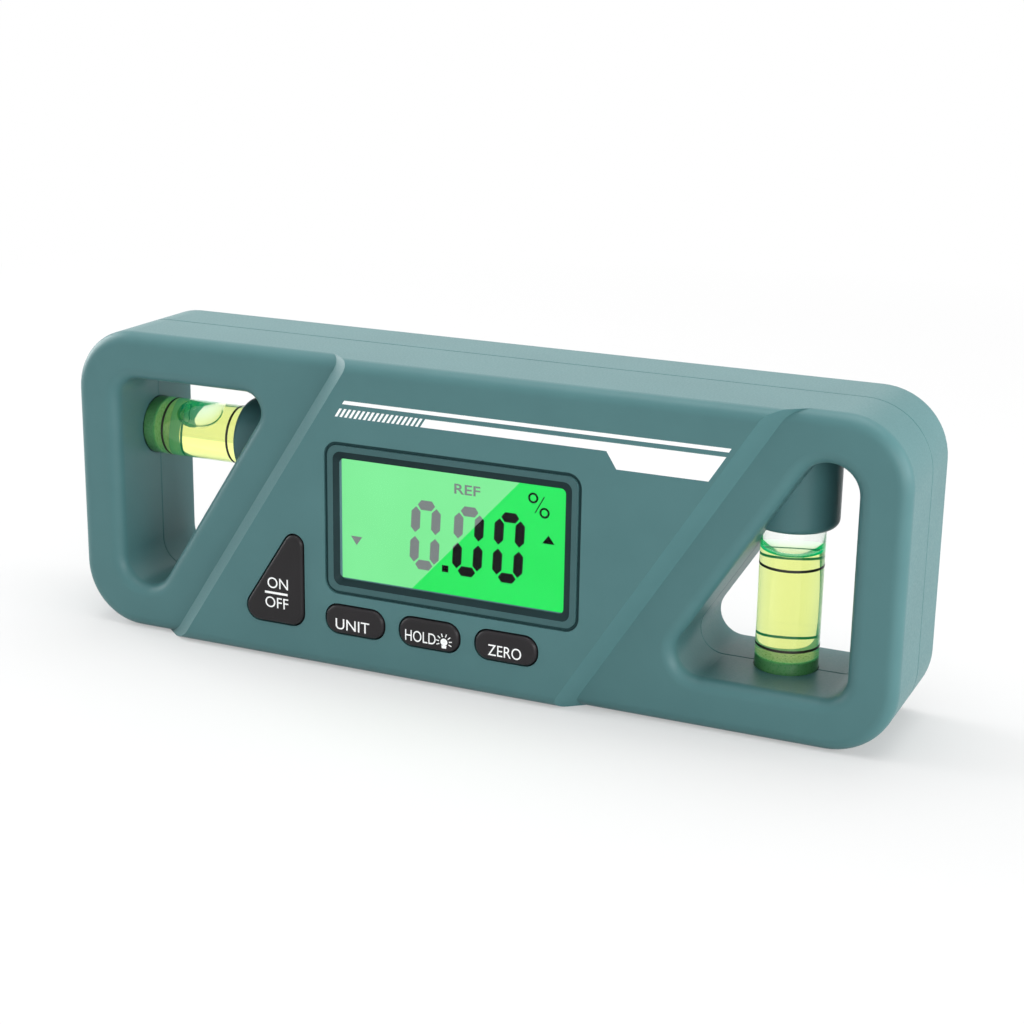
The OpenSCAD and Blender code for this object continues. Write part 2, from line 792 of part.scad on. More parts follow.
// Chips on the back of the board
module chip(place, side) {
    color([0.12, 0.12, 0.13]) slab(board_back, board_back + chip_thickness)
        translate(place) square(side, center = true);
}
module controller_chip() {
    chip([-chip_offset, mid_z + chip_rise], chip_side);
}
module tilt_sensor() {
    chip([sensor_offset, mid_z + sensor_rise], sensor_side);
}

// Key switch body on the board, with the bore that its stem slides in
module switch_body(place) {
    color([0.25, 0.25, 0.27]) difference() {
        slab(switch_front, board_front) translate(place) square(switch_side, center = true);
        bar(place, switch_front - over, switch_front + key_travel + over, switch_stem + 2 * screw_fit);
    }
}
// Stem of a key switch, which moves with its key
module stem(place) {
    color([0.6, 0.15, 0.12]) bar(place, key_back, switch_front + over / 2, switch_stem);
}
module unit_switch() {
    switch_body(row_places[0]);
}
module hold_switch() {
    switch_body(row_places[1]);
}
module zero_switch() {
    switch_body(row_places[2]);
}
module power_switch() {
    switch_body(power_place);
}
module unit_stem() {
    stem(row_places[0]);
}
module hold_stem() {
    stem(row_places[1]);
}
module zero_stem() {
    stem(row_places[2]);
}
module power_stem() {
    stem(power_place);
}

// Level vial: clear tube with one closed end
module vial_tube() {
    color([0.8, 0.95, 0.6]) difference() {
        cylinder(d = vial_diameter, h = vial_length);
        translate([0, 0, -over]) cylinder(d = vial_diameter - 2 * vial_wall, h = vial_length - vial_end + over);
    }
}
module vial_plug() {
    color([0.3, 0.55, 0.3]) cylinder(d = vial_diameter - 2 * vial_wall, h = plug_length);
}
module liquid_bar(top) {
    translate([0, 0, plug_length]) cylinder(d = vial_diameter - 2 * vial_wall, h = top - plug_length);
}
// Bubble as a capsule that lies against the upper side of the vial
module bubble() {
    r = bubble_width / 2;
    translate([-(vial_diameter / 2 - vial_wall) - r / 3, 0, bubble_place]) rotate_extrude() intersection() {
        union() {
            translate([0, -bubble_length / 2 + r]) square([r, bubble_length - 2 * r]);
            for (end = [-1, 1]) translate([0, end * (bubble_length / 2 - r)]) circle(r);
        }
        translate([0, -bubble_length]) square([bubble_width, 2 * bubble_length]);
    }
}
module level_vial() {
    on_level_axis() vial_tube();
}
module level_plug() {
    on_level_axis() vial_plug();
}
module level_liquid() {
    color(liquid_colour) on_level_axis() difference() {
        liquid_bar(vial_length - vial_end);
        bubble();
    }
}
module plumb_vial() {
    on_plumb_axis() vial_tube();
}
module plumb_plug() {
    on_plumb_axis() vial_plug();
}
module plumb_liquid() {
    color(liquid_colour) on_plumb_axis() liquid_bar(plumb_level);
}

// AAA cell along X, with its nub at the end that side gives
module battery(rise, side) {
    color([0.2, 0.35, 0.25])
        translate([side * (contact_face - battery_length), battery_depth - mid_depth, mid_z + rise])
            rotate([0, side * 90, 0]) {
                cylinder(d = battery_diameter, h = battery_length - nub_length);
                cylinder(d = nub_diameter, h = battery_length);
            }
}
module upper_battery() {
    battery(battery_rise, 1);
}
module lower_battery() {
    battery(-battery_rise, -1);
}

// Wire spring: rings of points along a cone, joined into one closed tube
spring_sides = 6;
spring_steps = 12;
spring_length = 2 * contact_face - battery_length;
spring_sink = spring_wire / 3;
function spring_ring(t) =
    let (
        a = 360 * t,
        r = spring_radius - spring_taper * t,
        h = spring_sink + (spring_length - 3 * spring_sink) * t / spring_turns
    )
    [for (i = [0:spring_sides - 1])
        let (b = 360 * i / spring_sides, d = r + spring_wire / 2 * cos(b))
        [d * cos(a), d * sin(a), h + spring_wire / 2 * sin(b)]];
module contact_spring() {
    n = spring_turns * spring_steps;
    m = spring_sides;
    points = [for (k = [0:n]) each spring_ring(k / spring_steps)];
    walls = [for (k = [0:n - 1], i = [0:m - 1])
        [k * m + (i + 1) % m, (k + 1) * m + (i + 1) % m, (k + 1) * m + i, k * m + i]];
    ends = [[for (i = [m - 1:-1:0]) i], [for (i = [0:m - 1]) n * m + i]];
    polyhedron(points, concat(walls, ends), convexity = 6);
}
// Contact plate at one end of the bay
module contact_plate(side, rise, height) {
    depth = battery_depth - mid_depth;
    translate([side * (bay_length / 2 - contact_thickness / 2), depth, mid_z + rise])
        cube([contact_thickness, contact_side, height], center = true);
}
module spring_at(side, rise) {
    translate([side * contact_face, battery_depth - mid_depth, mid_z + rise])
        rotate([0, -side * 90, 0]) contact_spring();
}
// Solder tail from an end contact to the board
module contact_tail(rise) {
    front = board_back - mid_depth;
    back = battery_depth - mid_depth;
    translate([bay_length / 2 - contact_thickness, front, mid_z + rise - contact_side / 4])
        cube([contact_thickness, back - front, contact_side / 2]);
}
module link_contact() {
    color(metal_colour) {
        contact_plate(-1, 0, 2 * battery_rise + contact_side);
        spring_at(-1, battery_rise);
    }
}
module positive_contact() {
    color(metal_colour) {
        contact_plate(1, battery_rise, contact_side);
        contact_tail(battery_rise);
    }
}
module negative_contact() {
    color(metal_colour) {
        contact_plate(1, -battery_rise, contact_side);
        contact_tail(-battery_rise);
        spring_at(1, -battery_rise);
    }
}

// Hatch over the cells: hook tabs below, a pull lip at the finger notch above
module battery_hatch() {
    neck = hatch_inner - hook_thickness - over;
    color(shell_colour) union() {
        translate([0, 0, mid_z]) slab(hatch_inner, body_depth)
            square([hatch_width, hatch_height], center = true);
        for (side = [-1, 1]) translate([side * hook_spacing / 2, 0, hatch_base]) {
            slab(neck, hatch_inner + over / 2) translate([-hook_width / 2, 0]) square([hook_width, hook_thickness]);
            slab(neck, neck + hook_thickness) translate([-hook_width / 2, -hook_reach])
                square([hook_width, hook_reach + hook_thickness]);
        }
    }
}

// Disc magnets in the base
module magnet(side) {
    color([0.6, 0.6, 0.62]) translate([side * magnet_offset, magnet_depth - mid_depth, 0])
        cylinder(d = magnet_diameter, h = magnet_thickness);
}
module left_magnet() {
    magnet(-1);
}
module right_magnet() {
    magnet(1);
}

front_housing();
rear_housing();
housing_screws();
display_lens();
lcd_cell();
backlight();
lcd_contact_strip();
power_key();
unit_key();
hold_key();
zero_key();
circuit_board();
board_screws();
controller_chip();
tilt_sensor();
power_switch();
unit_switch();
hold_switch();
zero_switch();
power_stem();
unit_stem();
hold_stem();
zero_stem();
level_vial();
level_liquid();
level_plug();
plumb_vial();
plumb_liquid();
plumb_plug();
upper_battery();
lower_battery();
link_contact();
positive_contact();
negative_contact();
battery_hatch();
left_magnet();
right_magnet();
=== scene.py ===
"""Looks of a pocket digital angle gauge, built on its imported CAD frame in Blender 4.5.

A plain size of a piece is in millimetres, and one written times MM is in metres. The studio is in metres.
"""

import logging
import math
from dataclasses import dataclass, field, replace
from enum import Enum
from functools import cached_property
from typing import Callable, Iterable, Sequence

import bmesh
import bpy
from mathutils import Matrix, Vector


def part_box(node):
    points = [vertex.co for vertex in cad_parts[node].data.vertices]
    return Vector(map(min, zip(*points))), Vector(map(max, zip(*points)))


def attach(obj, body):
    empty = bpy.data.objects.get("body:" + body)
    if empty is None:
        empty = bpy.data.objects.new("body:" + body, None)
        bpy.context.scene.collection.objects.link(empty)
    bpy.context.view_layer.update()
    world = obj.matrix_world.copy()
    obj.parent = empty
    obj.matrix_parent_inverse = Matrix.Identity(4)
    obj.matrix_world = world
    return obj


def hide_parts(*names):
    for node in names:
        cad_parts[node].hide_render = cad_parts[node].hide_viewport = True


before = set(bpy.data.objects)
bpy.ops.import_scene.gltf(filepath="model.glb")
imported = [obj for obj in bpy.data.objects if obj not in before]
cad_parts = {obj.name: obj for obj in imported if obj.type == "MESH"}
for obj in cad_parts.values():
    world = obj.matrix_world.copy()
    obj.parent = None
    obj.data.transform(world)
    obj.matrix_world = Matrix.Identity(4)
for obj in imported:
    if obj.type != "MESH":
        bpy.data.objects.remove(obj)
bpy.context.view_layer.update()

LOG = logging.getLogger("angle_gauge")
MM = 0.001
WHITE = (1.0, 1.0, 1.0)
BLACK = (0.0, 0.0, 0.0)
UPRIGHT = Matrix.Rotation(math.radians(90), 4, "X")
ALONG_X = Matrix.Rotation(math.radians(90), 4, "Y")

Triple = tuple[float, float, float]
Colour = Triple
Pair = tuple[float, float]
Box = tuple[float, float, float, float]
Node = bpy.types.Node
Socket = bpy.types.NodeSocket
Work = bmesh.types.BMesh
Edges = list[bmesh.types.BMEdge]


class Body(Enum):
    """Rigid bodies of the CAD frame that the new pieces ride on."""

    GAUGE = "gauge"
    POWER_KEY = "power_key"
    UNIT_KEY = "unit_key"
    HOLD_KEY = "hold_key"
    ZERO_KEY = "zero_key"


class Slot(Enum):
    """Material slot names, passed along with some of the new pieces."""

    LENS = "lens"
    LCD = "lcd"
    VIAL = "vial"
    LIQUID = "liquid"
    PLUG = "plug"


class NodeSheet:
    """The node tree of a material or of the world, with short calls to add and link its nodes."""

    noise_roughness = 0.55
    noise_span = (0.33, 0.67)
    # Where a Mix node has its factor, its two colours and its mixed colour among its sockets.
    mix_inputs = (0, 6, 7)
    mix_result = 2

    def __init__(self, owner: bpy.types.Material | bpy.types.World) -> None:
        """Empties the tree and adds an output node.

        Args:
            owner: The material or the world.
        """
        owner.use_nodes = True
        self.tree = owner.node_tree
        self.tree.nodes.clear()
        kind = "World" if isinstance(owner, bpy.types.World) else "Material"
        self.output = self.add("ShaderNodeOutput" + kind)

    def add(self, kind: str, **values: object) -> Node:
        """Adds a node and sets its properties.

        Args:
            kind: Blender's type name of the node.
            values: Properties of the node, by name.

        Returns:
            The new node.
        """
        node = self.tree.nodes.new(kind)
        for key, value in values.items():
            setattr(node, key, value)
        return node

    def put(self, node: Node, **values: object) -> Node:
        """Feeds inputs of a node; an underscore in a name stands for a space.

        Args:
            node: The node.
            values: Outputs of other nodes or plain values, by the input's name.

        Returns:
            The same node.
        """
        for key, value in values.items():
            self.feed(node.inputs[key.replace("_", " ")], value)
        return node

    def feed(self, target: Socket, value: object) -> None:
        """Links an input to an output of another node, or sets it to a plain value.

        Args:
            target: The input.
            value: The output or the plain value.
        """
        if isinstance(value, Socket):
            self.tree.links.new(value, target)
        else:
            target.default_value = value

    def surface(self, shader: Node) -> None:
        """Links a shader to the output."""
        self.put(self.output, Surface=shader.outputs[0])

    def place(self) -> Socket:
        """Gives the Object coordinates."""
        return self.add("ShaderNodeTexCoord").outputs["Object"]

    def calc(self, kind: str, operation: str, *terms: object) -> Node:
        """Adds a node that calculates.

        Args:
            kind: Math or VectorMath.
            operation: Blender's name of the operation.
            terms: Its inputs in order, as sockets or as plain values.

        Returns:
            The new node.
        """
        node = self.add("ShaderNode" + kind, operation=operation)
        for socket, term in zip(node.inputs, terms):
            self.feed(socket, term)
        return node

    def math(self, operation: str, *terms: object) -> Socket:
        """Gives the value of a Math node."""
        return self.calc("Math", operation, *terms).outputs["Value"]

    def vector(self, operation: str, *terms: object) -> Socket:
        """Gives the vector of a VectorMath node."""
        return self.calc("VectorMath", operation, *terms).outputs["Vector"]

    def length(self, source: Socket) -> Socket:
        """Gives the length of a vector."""
        return self.calc("VectorMath", "LENGTH", source).outputs["Value"]

    def noise(self, feature: float, detail: float = 3.0) -> Socket:
        """Adds a noise on Object coordinates.

        Args:
            feature: Size of the noise's features, in metres.
            detail: Number of finer layers.

        Returns:
            The noise's value output.
        """
        noise = self.add("ShaderNodeTexNoise")
        self.put(noise, Vector=self.place(), Scale=1.0 / feature)
        self.put(noise, Detail=detail, Roughness=self.noise_roughness)
        return noise.outputs["Fac"]

    def spread(self, source: Socket, low: float, high: float, span: Pair = noise_span) -> Socket:
        """Maps a value onto a range.

        Args:
            source: The value, such as a noise.
            low: Result at the start of the span.
            high: Result at the end of the span.
            span: Start and end of the values that are mapped.

        Returns:
            The mapped value output.
        """
        ramp = self.add("ShaderNodeMapRange")
        self.put(ramp, Value=source, From_Min=span[0], From_Max=span[1], To_Min=low, To_Max=high)
        return ramp.outputs["Result"]

    def blend(self, factor: Socket, first: Colour | Socket, second: Colour) -> Socket:
        """Mixes two colours.

        Args:
            factor: Share of the second colour.
            first: First colour, linear, or a socket that gives it.
            second: Second colour, linear.

        Returns:
            The colour output.
        """
        mix = self.add("ShaderNodeMix", data_type="RGBA")
        amount, start, end = (mix.inputs[index] for index in self.mix_inputs)
        self.feed(amount, factor)
        self.feed(start, first if isinstance(first, Socket) else (*first, 1.0))
        self.feed(end, (*second, 1.0))
        return mix.outputs[self.mix_result]

    def bump(self, height: Socket, strength: float, depth: float) -> Socket:
        """Adds a bump.

        Args:
            height: Height value.
            strength: Strength of the bump.
            depth: Depth of the bump, in metres.

        Returns:
            The normal output.
        """
        node = self.add("ShaderNodeBump")
        self.put(node, Height=height, Strength=strength, Distance=depth)
        return node.outputs["Normal"]

    def bright_rays(self) -> Socket:
        """Tells the rays that see the pale background from those that light the object.

        Returns:
            A value of 1 for camera, mirror and see-through rays.
        """
        path = self.add("ShaderNodeLightPath")
        bright = path.outputs["Is Camera Ray"]
        for name in ("Is Glossy Ray", "Is Transmission Ray"):
            bright = self.math("MAXIMUM", bright, path.outputs[name])
        return bright


@dataclass(frozen=True)
class Coat:
    """What every finish has: a name, and a material that it wires itself."""

    name: str

    def make(self) -> bpy.types.Material:
        """Builds the material.

        Returns:
            The new material.
        """
        material = bpy.data.materials.new(self.name)
        sheet = NodeSheet(material)
        shader = sheet.add("ShaderNodeBsdfPrincipled")
        self.wire(sheet, shader)
        sheet.surface(shader)
        return material

    def wire(self, sheet: NodeSheet, shader: Node) -> None:
        """Sets and links the shader's inputs."""
        raise NotImplementedError


@dataclass(frozen=True)
class Finish(Coat):
    """A solid finish with mottled tone, uneven gloss and a fine grain."""

    tone: Colour
    other_tone: Colour
    roughness: Pair = (0.4, 0.5)
    mottle: float = 12 * MM
    grain: float = 0.35 * MM
    grain_detail: float = 2.0
    grain_strength: float = 0.05
    grain_depth: float = 0.05 * MM
    metallic: float = 0.0
    specular: float = 0.5

    def wire(self, sheet: NodeSheet, shader: Node) -> None:
        """Links the mottled tone, the gloss and the grain.

        Args:
            sheet: The material's node sheet.
            shader: Its shader.
        """
        cloud = sheet.spread(sheet.noise(self.mottle), 0.0, 1.0)
        fine = sheet.noise(self.grain, self.grain_detail)
        sheet.put(
            shader,
            Base_Color=sheet.blend(cloud, self.tone, self.other_tone),
            Metallic=self.metallic,
            Roughness=sheet.spread(fine, *self.roughness),
            Normal=sheet.bump(fine, self.grain_strength, self.grain_depth),
            Specular_IOR_Level=self.specular,
        )


@dataclass(frozen=True)
class ClearFinish(Coat):
    """A clear finish with a faint unevenness of its surface, and a dye inside it if it has one.

    A painted glow, where one is set, is a faint emission that stands in for light through the dyed
    spirit. Where a vial that lies along X is named, the painted glow is at the vial's wall only.
    """

    tint: Colour
    index: float
    roughness: Pair = (0.0, 0.02)
    unevenness: float = 4 * MM
    dye: Colour | None = None
    strength: float = 0.0
    # Painted glow: a faint emission that stands in for light through the spirit.
    painted_glow: Colour = BLACK
    painted_glow_node: str = ""
    painted_glow_inset: float = 0.0

    def wire(self, sheet: NodeSheet, shader: Node) -> None:
        """Sets the clear body, and adds the dye and the painted glow.

        Args:
            sheet: The material's node sheet.
            shader: Its shader.
        """
        sheet.put(
            shader,
            Base_Color=(*self.tint, 1.0),
            Roughness=sheet.spread(sheet.noise(self.unevenness), *self.roughness),
            IOR=self.index,
            Transmission_Weight=1.0,
            # The painted glow: emission that stands in for light through the spirit.
            Emission_Color=(*self.painted_glow, 1.0),
            Emission_Strength=self.painted_glow_at_wall(sheet) if self.painted_glow_node else float(any(self.painted_glow)),
        )
        if self.dye is not None:
            dye = sheet.add("ShaderNodeVolumeAbsorption")
            sheet.put(dye, Color=(*self.dye, 1.0), Density=self.strength)
            sheet.put(sheet.output, Volume=dye.outputs[0])

    def painted_glow_at_wall(self, sheet: NodeSheet) -> Socket:
        """Marks the outer wall of a filling that lies along X, where the painted glow goes.

        Args:
            sheet: The material's node sheet.

        Returns:
            A value of 1 at the wall and 0 nearer the axis.
        """
        low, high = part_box(self.painted_glow_node)
        offset = sheet.vector("SUBTRACT", sheet.place(), (low + high) / 2)
        across = sheet.vector("MULTIPLY", offset, (0.0, 1.0, 1.0))
        reach = (high.z - low.z) / 2 - self.painted_glow_inset
        return sheet.math("GREATER_THAN", sheet.length(across), reach)


@dataclass(frozen=True)
class LitFinish(Coat):
    """The lit face of the display: its own light, a little uneven like a real light guide."""

    tone: Colour
    other_tone: Colour
    unlit: Colour = (0.01, 0.03, 0.015)
    roughness: float = 0.5
    cloud: float = 18 * MM
    cloud_detail: float = 1.0

    def wire(self, sheet: NodeSheet, shader: Node) -> None:
        """Sets the unlit face and links its light.

        Args:
            sheet: The material's node sheet.
            shader: Its shader.
        """
        cloud = sheet.spread(sheet.noise(self.cloud, self.cloud_detail), 0.0, 1.0)
        sheet.put(
            shader,
            Base_Color=(*self.unlit, 1.0),
            Roughness=self.roughness,
            Specular_IOR_Level=0.0,
            Emission_Color=sheet.blend(cloud, self.tone, self.other_tone),
            Emission_Strength=1.0,
        )


@dataclass(frozen=True)
class PaintedSheenFinish(Coat):
    """A painted sheen: a thin pale sheet with its own faint light, standing in for a reflection, that
    lets what is behind it show through.
    """

    tone: Colour
    cover: float
    unevenness: float = 0.03
    cloud: float = 20 * MM
    cloud_detail: float = 1.0
    roughness: float = 0.6

    def wire(self, sheet: NodeSheet, shader: Node) -> None:
        """Sets the painted sheen's pale light and links its cover.

        Args:
            sheet: The material's node sheet.
            shader: Its shader.
        """
        thin, thick = (self.cover * (1 + side * self.unevenness) for side in (-1, 1))
        sheet.put(
            shader,
            Base_Color=(*BLACK, 1.0),
            Roughness=self.roughness,
            Alpha=sheet.spread(sheet.noise(self.cloud, self.cloud_detail), thin, thick),
            Specular_IOR_Level=0.0,
            Emission_Color=(*self.tone, 1.0),
            Emission_Strength=1.0,
        )


@dataclass(frozen=True)
class CellFinish(Coat):
    """The wrap of a battery cell: a dark sleeve with a pale band, and bare metal at both ends."""

    node: str
    positive: float
    sleeve: Colour = (0.012, 0.050, 0.030)
    band: Colour = (0.50, 0.52, 0.50)
    metal: Colour = (0.60, 0.60, 0.58)
    band_reach: Pair = (7 * MM, 10 * MM)
    bare: float = 1.6 * MM
    back_share: float = 0.25
    roughness: Pair = (0.25, 0.36)
    scuff: float = 3 * MM

    def wire(self, sheet: NodeSheet, shader: Node) -> None:
        """Links the sleeve, the band and the metal by their places along the cell.

        Args:
            sheet: The material's node sheet.
            shader: Its shader.
        """
        low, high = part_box(self.node)
        tip, back = (high.x, low.x) if self.positive > 0 else (low.x, high.x)
        near, far = (tip - self.positive * reach for reach in self.band_reach)
        banded = self.between(sheet, near, far)
        bare = self.positive * self.bare
        bare_tip = self.between(sheet, tip - bare, tip + bare)
        bare_back = self.between(sheet, back - bare, back + bare * self.back_share)
        metal = sheet.math("MAXIMUM", bare_tip, bare_back)
        wrap = sheet.blend(banded, self.sleeve, self.band)
        sheet.put(
            shader,
            Base_Color=sheet.blend(metal, wrap, self.metal),
            Metallic=metal,
            Roughness=sheet.spread(sheet.noise(self.scuff), *self.roughness),
        )

    @staticmethod
    def between(sheet: NodeSheet, start: float, end: float) -> Socket:
        """Marks a stretch along X, whose ends are in metres, with 1 inside it and 0 outside it."""
        parts = sheet.put(sheet.add("ShaderNodeSeparateXYZ"), Vector=sheet.place())
        return sheet.math("COMPARE", parts.outputs["X"], (start + end) / 2, abs(end - start) / 2)


class Finishes(Enum):
    """Every finish of the gauge."""

    HOUSING = Finish(
        "satin_teal_plastic", (0.067, 0.167, 0.174), (0.072, 0.177, 0.184), (0.36, 0.45), specular=0.25
    )
    KEY = Finish(
        "satin_black_plastic", (0.014, 0.013, 0.014), (0.018, 0.016, 0.018), (0.34, 0.44), specular=0.22
    )
    RIM = Finish("bezel_rim", (0.040, 0.104, 0.109), (0.045, 0.112, 0.117), specular=0.25)
    # Painted shade: a near-black teal over the walls of the display's recess, where shade falls.
    RECESS_SHADE = Finish(
        "bezel_recess_painted_shade", (0.008, 0.023, 0.026), (0.011, 0.030, 0.033), (0.45, 0.55), specular=0.12
    )
    # Painted shade: a dark teal on the floor of the bezel's groove, where shade falls.
    GROOVE_SHADE = Finish(
        "bezel_groove_painted_shade", (0.018, 0.054, 0.058), (0.021, 0.060, 0.064), (0.50, 0.60), specular=0.12
    )
    INK = Finish(
        "white_print", (0.90, 0.92, 0.92), (0.95, 0.96, 0.96), (0.45, 0.55), grain_strength=0.02
    )
    SEGMENT = Finish(
        "display_black",
        (0.010, 0.008, 0.010),
        (0.014, 0.011, 0.013),
        (0.5, 0.6),
        grain_strength=0.0,
        specular=0.0,
    )
    RING = Finish(
        "vial_line_black", (0.006, 0.008, 0.005), (0.012, 0.015, 0.01), (0.35, 0.5), grain_strength=0.0
    )
    STEEL = Finish("plated_steel", (0.56, 0.56, 0.55), (0.62, 0.62, 0.60), (0.22, 0.34), metallic=1.0)
    MAGNET = Finish("plated_magnet", (0.48, 0.48, 0.50), (0.54, 0.54, 0.56), (0.25, 0.40), metallic=1.0)
    DIFFUSER = Finish("light_guide", (0.70, 0.86, 0.76), (0.76, 0.90, 0.80))
    RUBBER = Finish("contact_rubber", (0.03, 0.03, 0.035), (0.05, 0.05, 0.055), (0.6, 0.7))
    BOARD = Finish(
        "board_laminate", (0.010, 0.105, 0.040), (0.014, 0.125, 0.050), (0.3, 0.42), mottle=2 * MM
    )
    CHIP = Finish("chip_package", (0.010, 0.010, 0.011), (0.016, 0.016, 0.017), (0.45, 0.6))
    SWITCH = Finish("switch_body", (0.03, 0.03, 0.035), (0.04, 0.04, 0.045))
    STEM = Finish("switch_stem", (0.22, 0.014, 0.010), (0.26, 0.018, 0.012))
    UPPER_CELL = CellFinish("upper_cell_wrap", "upper_battery", 1.0)
    LOWER_CELL = CellFinish("lower_cell_wrap", "lower_battery", -1.0)
    PLUG = Finish("vial_plug", (0.09, 0.32, 0.11), (0.11, 0.36, 0.13), (0.25, 0.35), grain_strength=0.0)
    LENS = ClearFinish("display_window", (0.98, 1.0, 0.99), 1.10)
    VIAL = ClearFinish("vial_tube", (0.98, 1.0, 0.97), 1.45)
    # Dyed spirit with a painted glow: a faint green emission that stands in for light through it.
    SPIRIT = ClearFinish(
        "dyed_spirit_painted_glow",
        (0.98, 1.0, 0.95),
        1.0,
        dye=(0.88, 0.80, 0.06),
        strength=160.0,
        painted_glow=(0.0, 0.075, 0.034),
    )
    # The same painted glow, kept to the vial's wall so the bubble stays clear.
    LEVEL_SPIRIT = replace(
        SPIRIT, name="dyed_level_spirit_painted_glow", painted_glow_node="level_vial", painted_glow_inset=1.04 * MM
    )
    AIR = ClearFinish("vial_air", WHITE, 1.2)
    LIT = LitFinish("lit_display", (0.020, 0.78, 0.110), (0.024, 0.82, 0.126))
    # Painted reflection: a pale sheen with its own light over the left of the display window.
    PAINTED_SHEEN = PaintedSheenFinish("painted_window_sheen", (0.90, 1.0, 1.0), 0.125)

    @cached_property
    def paint(self) -> bpy.types.Material:
        """The finish's material, which is made on first use."""
        return self.value.make()


class Bench:
    """Turns bmesh work into finished pieces of the scene."""

    circle_segments = 24
    turn_steps = 96
    # Edges sharper than this stay sharp, in degrees.
    smooth_angle = 35.0
    # Points of a turned shape nearer than this are merged, in millimetres.
    weld = 1e-4

    @staticmethod
    def piece(
        work: Work,
        name: str,
        finish: Finishes,
        body: Body,
        slot: Slot | None = None,
        replaces: Sequence[str] = (),
    ) -> None:
        """Makes an object at the origin out of a bmesh, paints it and lets it ride on a body.

        Args:
            work: The bmesh, freed by this call.
            name: Name of the piece.
            finish: Its finish.
            body: The body it rides on.
            slot: A material slot's name, which is not used.
            replaces: CAD nodes that it stands for.
        """
        mesh = bpy.data.meshes.new(name)
        work.to_mesh(mesh)
        work.free()
        mesh.shade_smooth()
        mesh.set_sharp_from_angle(angle=math.radians(Bench.smooth_angle))
        mesh.materials.append(finish.paint)
        thing = bpy.data.objects.new(name, mesh)
        bpy.context.scene.collection.objects.link(thing)
        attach(thing, body.value)
        if replaces:
            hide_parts(*replaces)
        LOG.info("piece %s: %d faces on %s", name, len(mesh.polygons), body.value)

    @staticmethod
    def corners(box: Box) -> tuple[Pair, ...]:
        """Gives the corners of a box of left, low, right and high side, counter-clockwise."""
        left, low, right, high = box
        return (left, low), (right, low), (right, high), (left, high)

    @staticmethod
    def thicken(work: Work, faces: Sequence[bmesh.types.BMFace], depth: float) -> None:
        """Draws faces out along Y into a closed slab.

        Args:
            work: The bmesh that holds them.
            faces: The faces.
            depth: How far they are drawn, in metres.
        """
        raised = bmesh.ops.extrude_face_region(work, geom=faces)
        moved = [item for item in raised["geom"] if isinstance(item, bmesh.types.BMVert)]
        bmesh.ops.translate(work, verts=moved, vec=(0.0, depth, 0.0))
        bmesh.ops.recalc_face_normals(work, faces=work.faces[:])

    @staticmethod
    def flat(work: Work, outline: Iterable[Pair], front: float, thickness: float) -> None:
        """Adds a thin slab of an (x, z) outline in millimetres, with its front at a place along Y."""
        corners = [work.verts.new((x * MM, front + thickness, z * MM)) for x, z in outline]
        Bench.thicken(work, [work.faces.new(corners)], -thickness)

    @staticmethod
    def circle(work: Work, centre: Pair, radius: float, front: float) -> Edges:
        """Adds a circle that faces the viewer of the display.

        Args:
            work: The bmesh to add to.
            centre: Its centre as (x, z) in millimetres.
            radius: Its radius, in millimetres.
            front: Its place along Y, in metres.

        Returns:
            Its edges.
        """
        place = Matrix.Translation((centre[0] * MM, front, centre[1] * MM)) @ UPRIGHT
        made = bmesh.ops.create_circle(
            work, segments=Bench.circle_segments, radius=radius * MM, matrix=place
        )
        return list({edge for vert in made["verts"] for edge in vert.link_edges})

    @staticmethod
    def band(work: Work, outer: Edges, inner: Edges, thickness: float) -> None:
        """Fills the band between two closed rows of edges in one plane, and thickens it backwards."""
        made = bmesh.ops.bridge_loops(work, edges=outer + inner)
        Bench.thicken(work, made["faces"], thickness)

    @staticmethod
    def lathe(work: Work, profile: Sequence[Pair], place: Matrix) -> None:
        """Adds a closed turned shape.

        Args:
            work: The bmesh to add to.
            profile: Points as (radius, height) in millimetres, a closed row or one that ends on the axis.
            place: Takes the turning axis, which is Z, to its place in metres.
        """
        start = set(work.verts)
        line = [work.verts.new((radius, 0.0, height)) for radius, height in profile]
        edges = [work.edges.new(pair) for pair in zip(line, line[1:])]
        bmesh.ops.spin(
            work,
            geom=line + edges,
            cent=(0.0, 0.0, 0.0),
            axis=(0.0, 0.0, 1.0),
            angle=2 * math.pi,
            steps=Bench.turn_steps,
            use_merge=True,
        )
        fresh = [vert for vert in work.verts if vert not in start]
        bmesh.ops.remove_doubles(work, verts=fresh, dist=Bench.weld)
        fresh = [vert for vert in work.verts if vert not in start]
        faces = {face for vert in fresh for face in vert.link_faces}
        bmesh.ops.recalc_face_normals(work, faces=list(faces))
        bmesh.ops.transform(work, matrix=place @ Matrix.Scale(MM, 4), verts=fresh)

    @staticmethod
    def dress(nodes: Iterable[str], finish: Finishes) -> None:
        """Paints CAD nodes.

        Args:
            nodes: Names of the nodes.
            finish: Their finish.
        """
        for name in nodes:
            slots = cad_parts[name].data.materials
            slots.clear()
            slots.append(finish.paint)


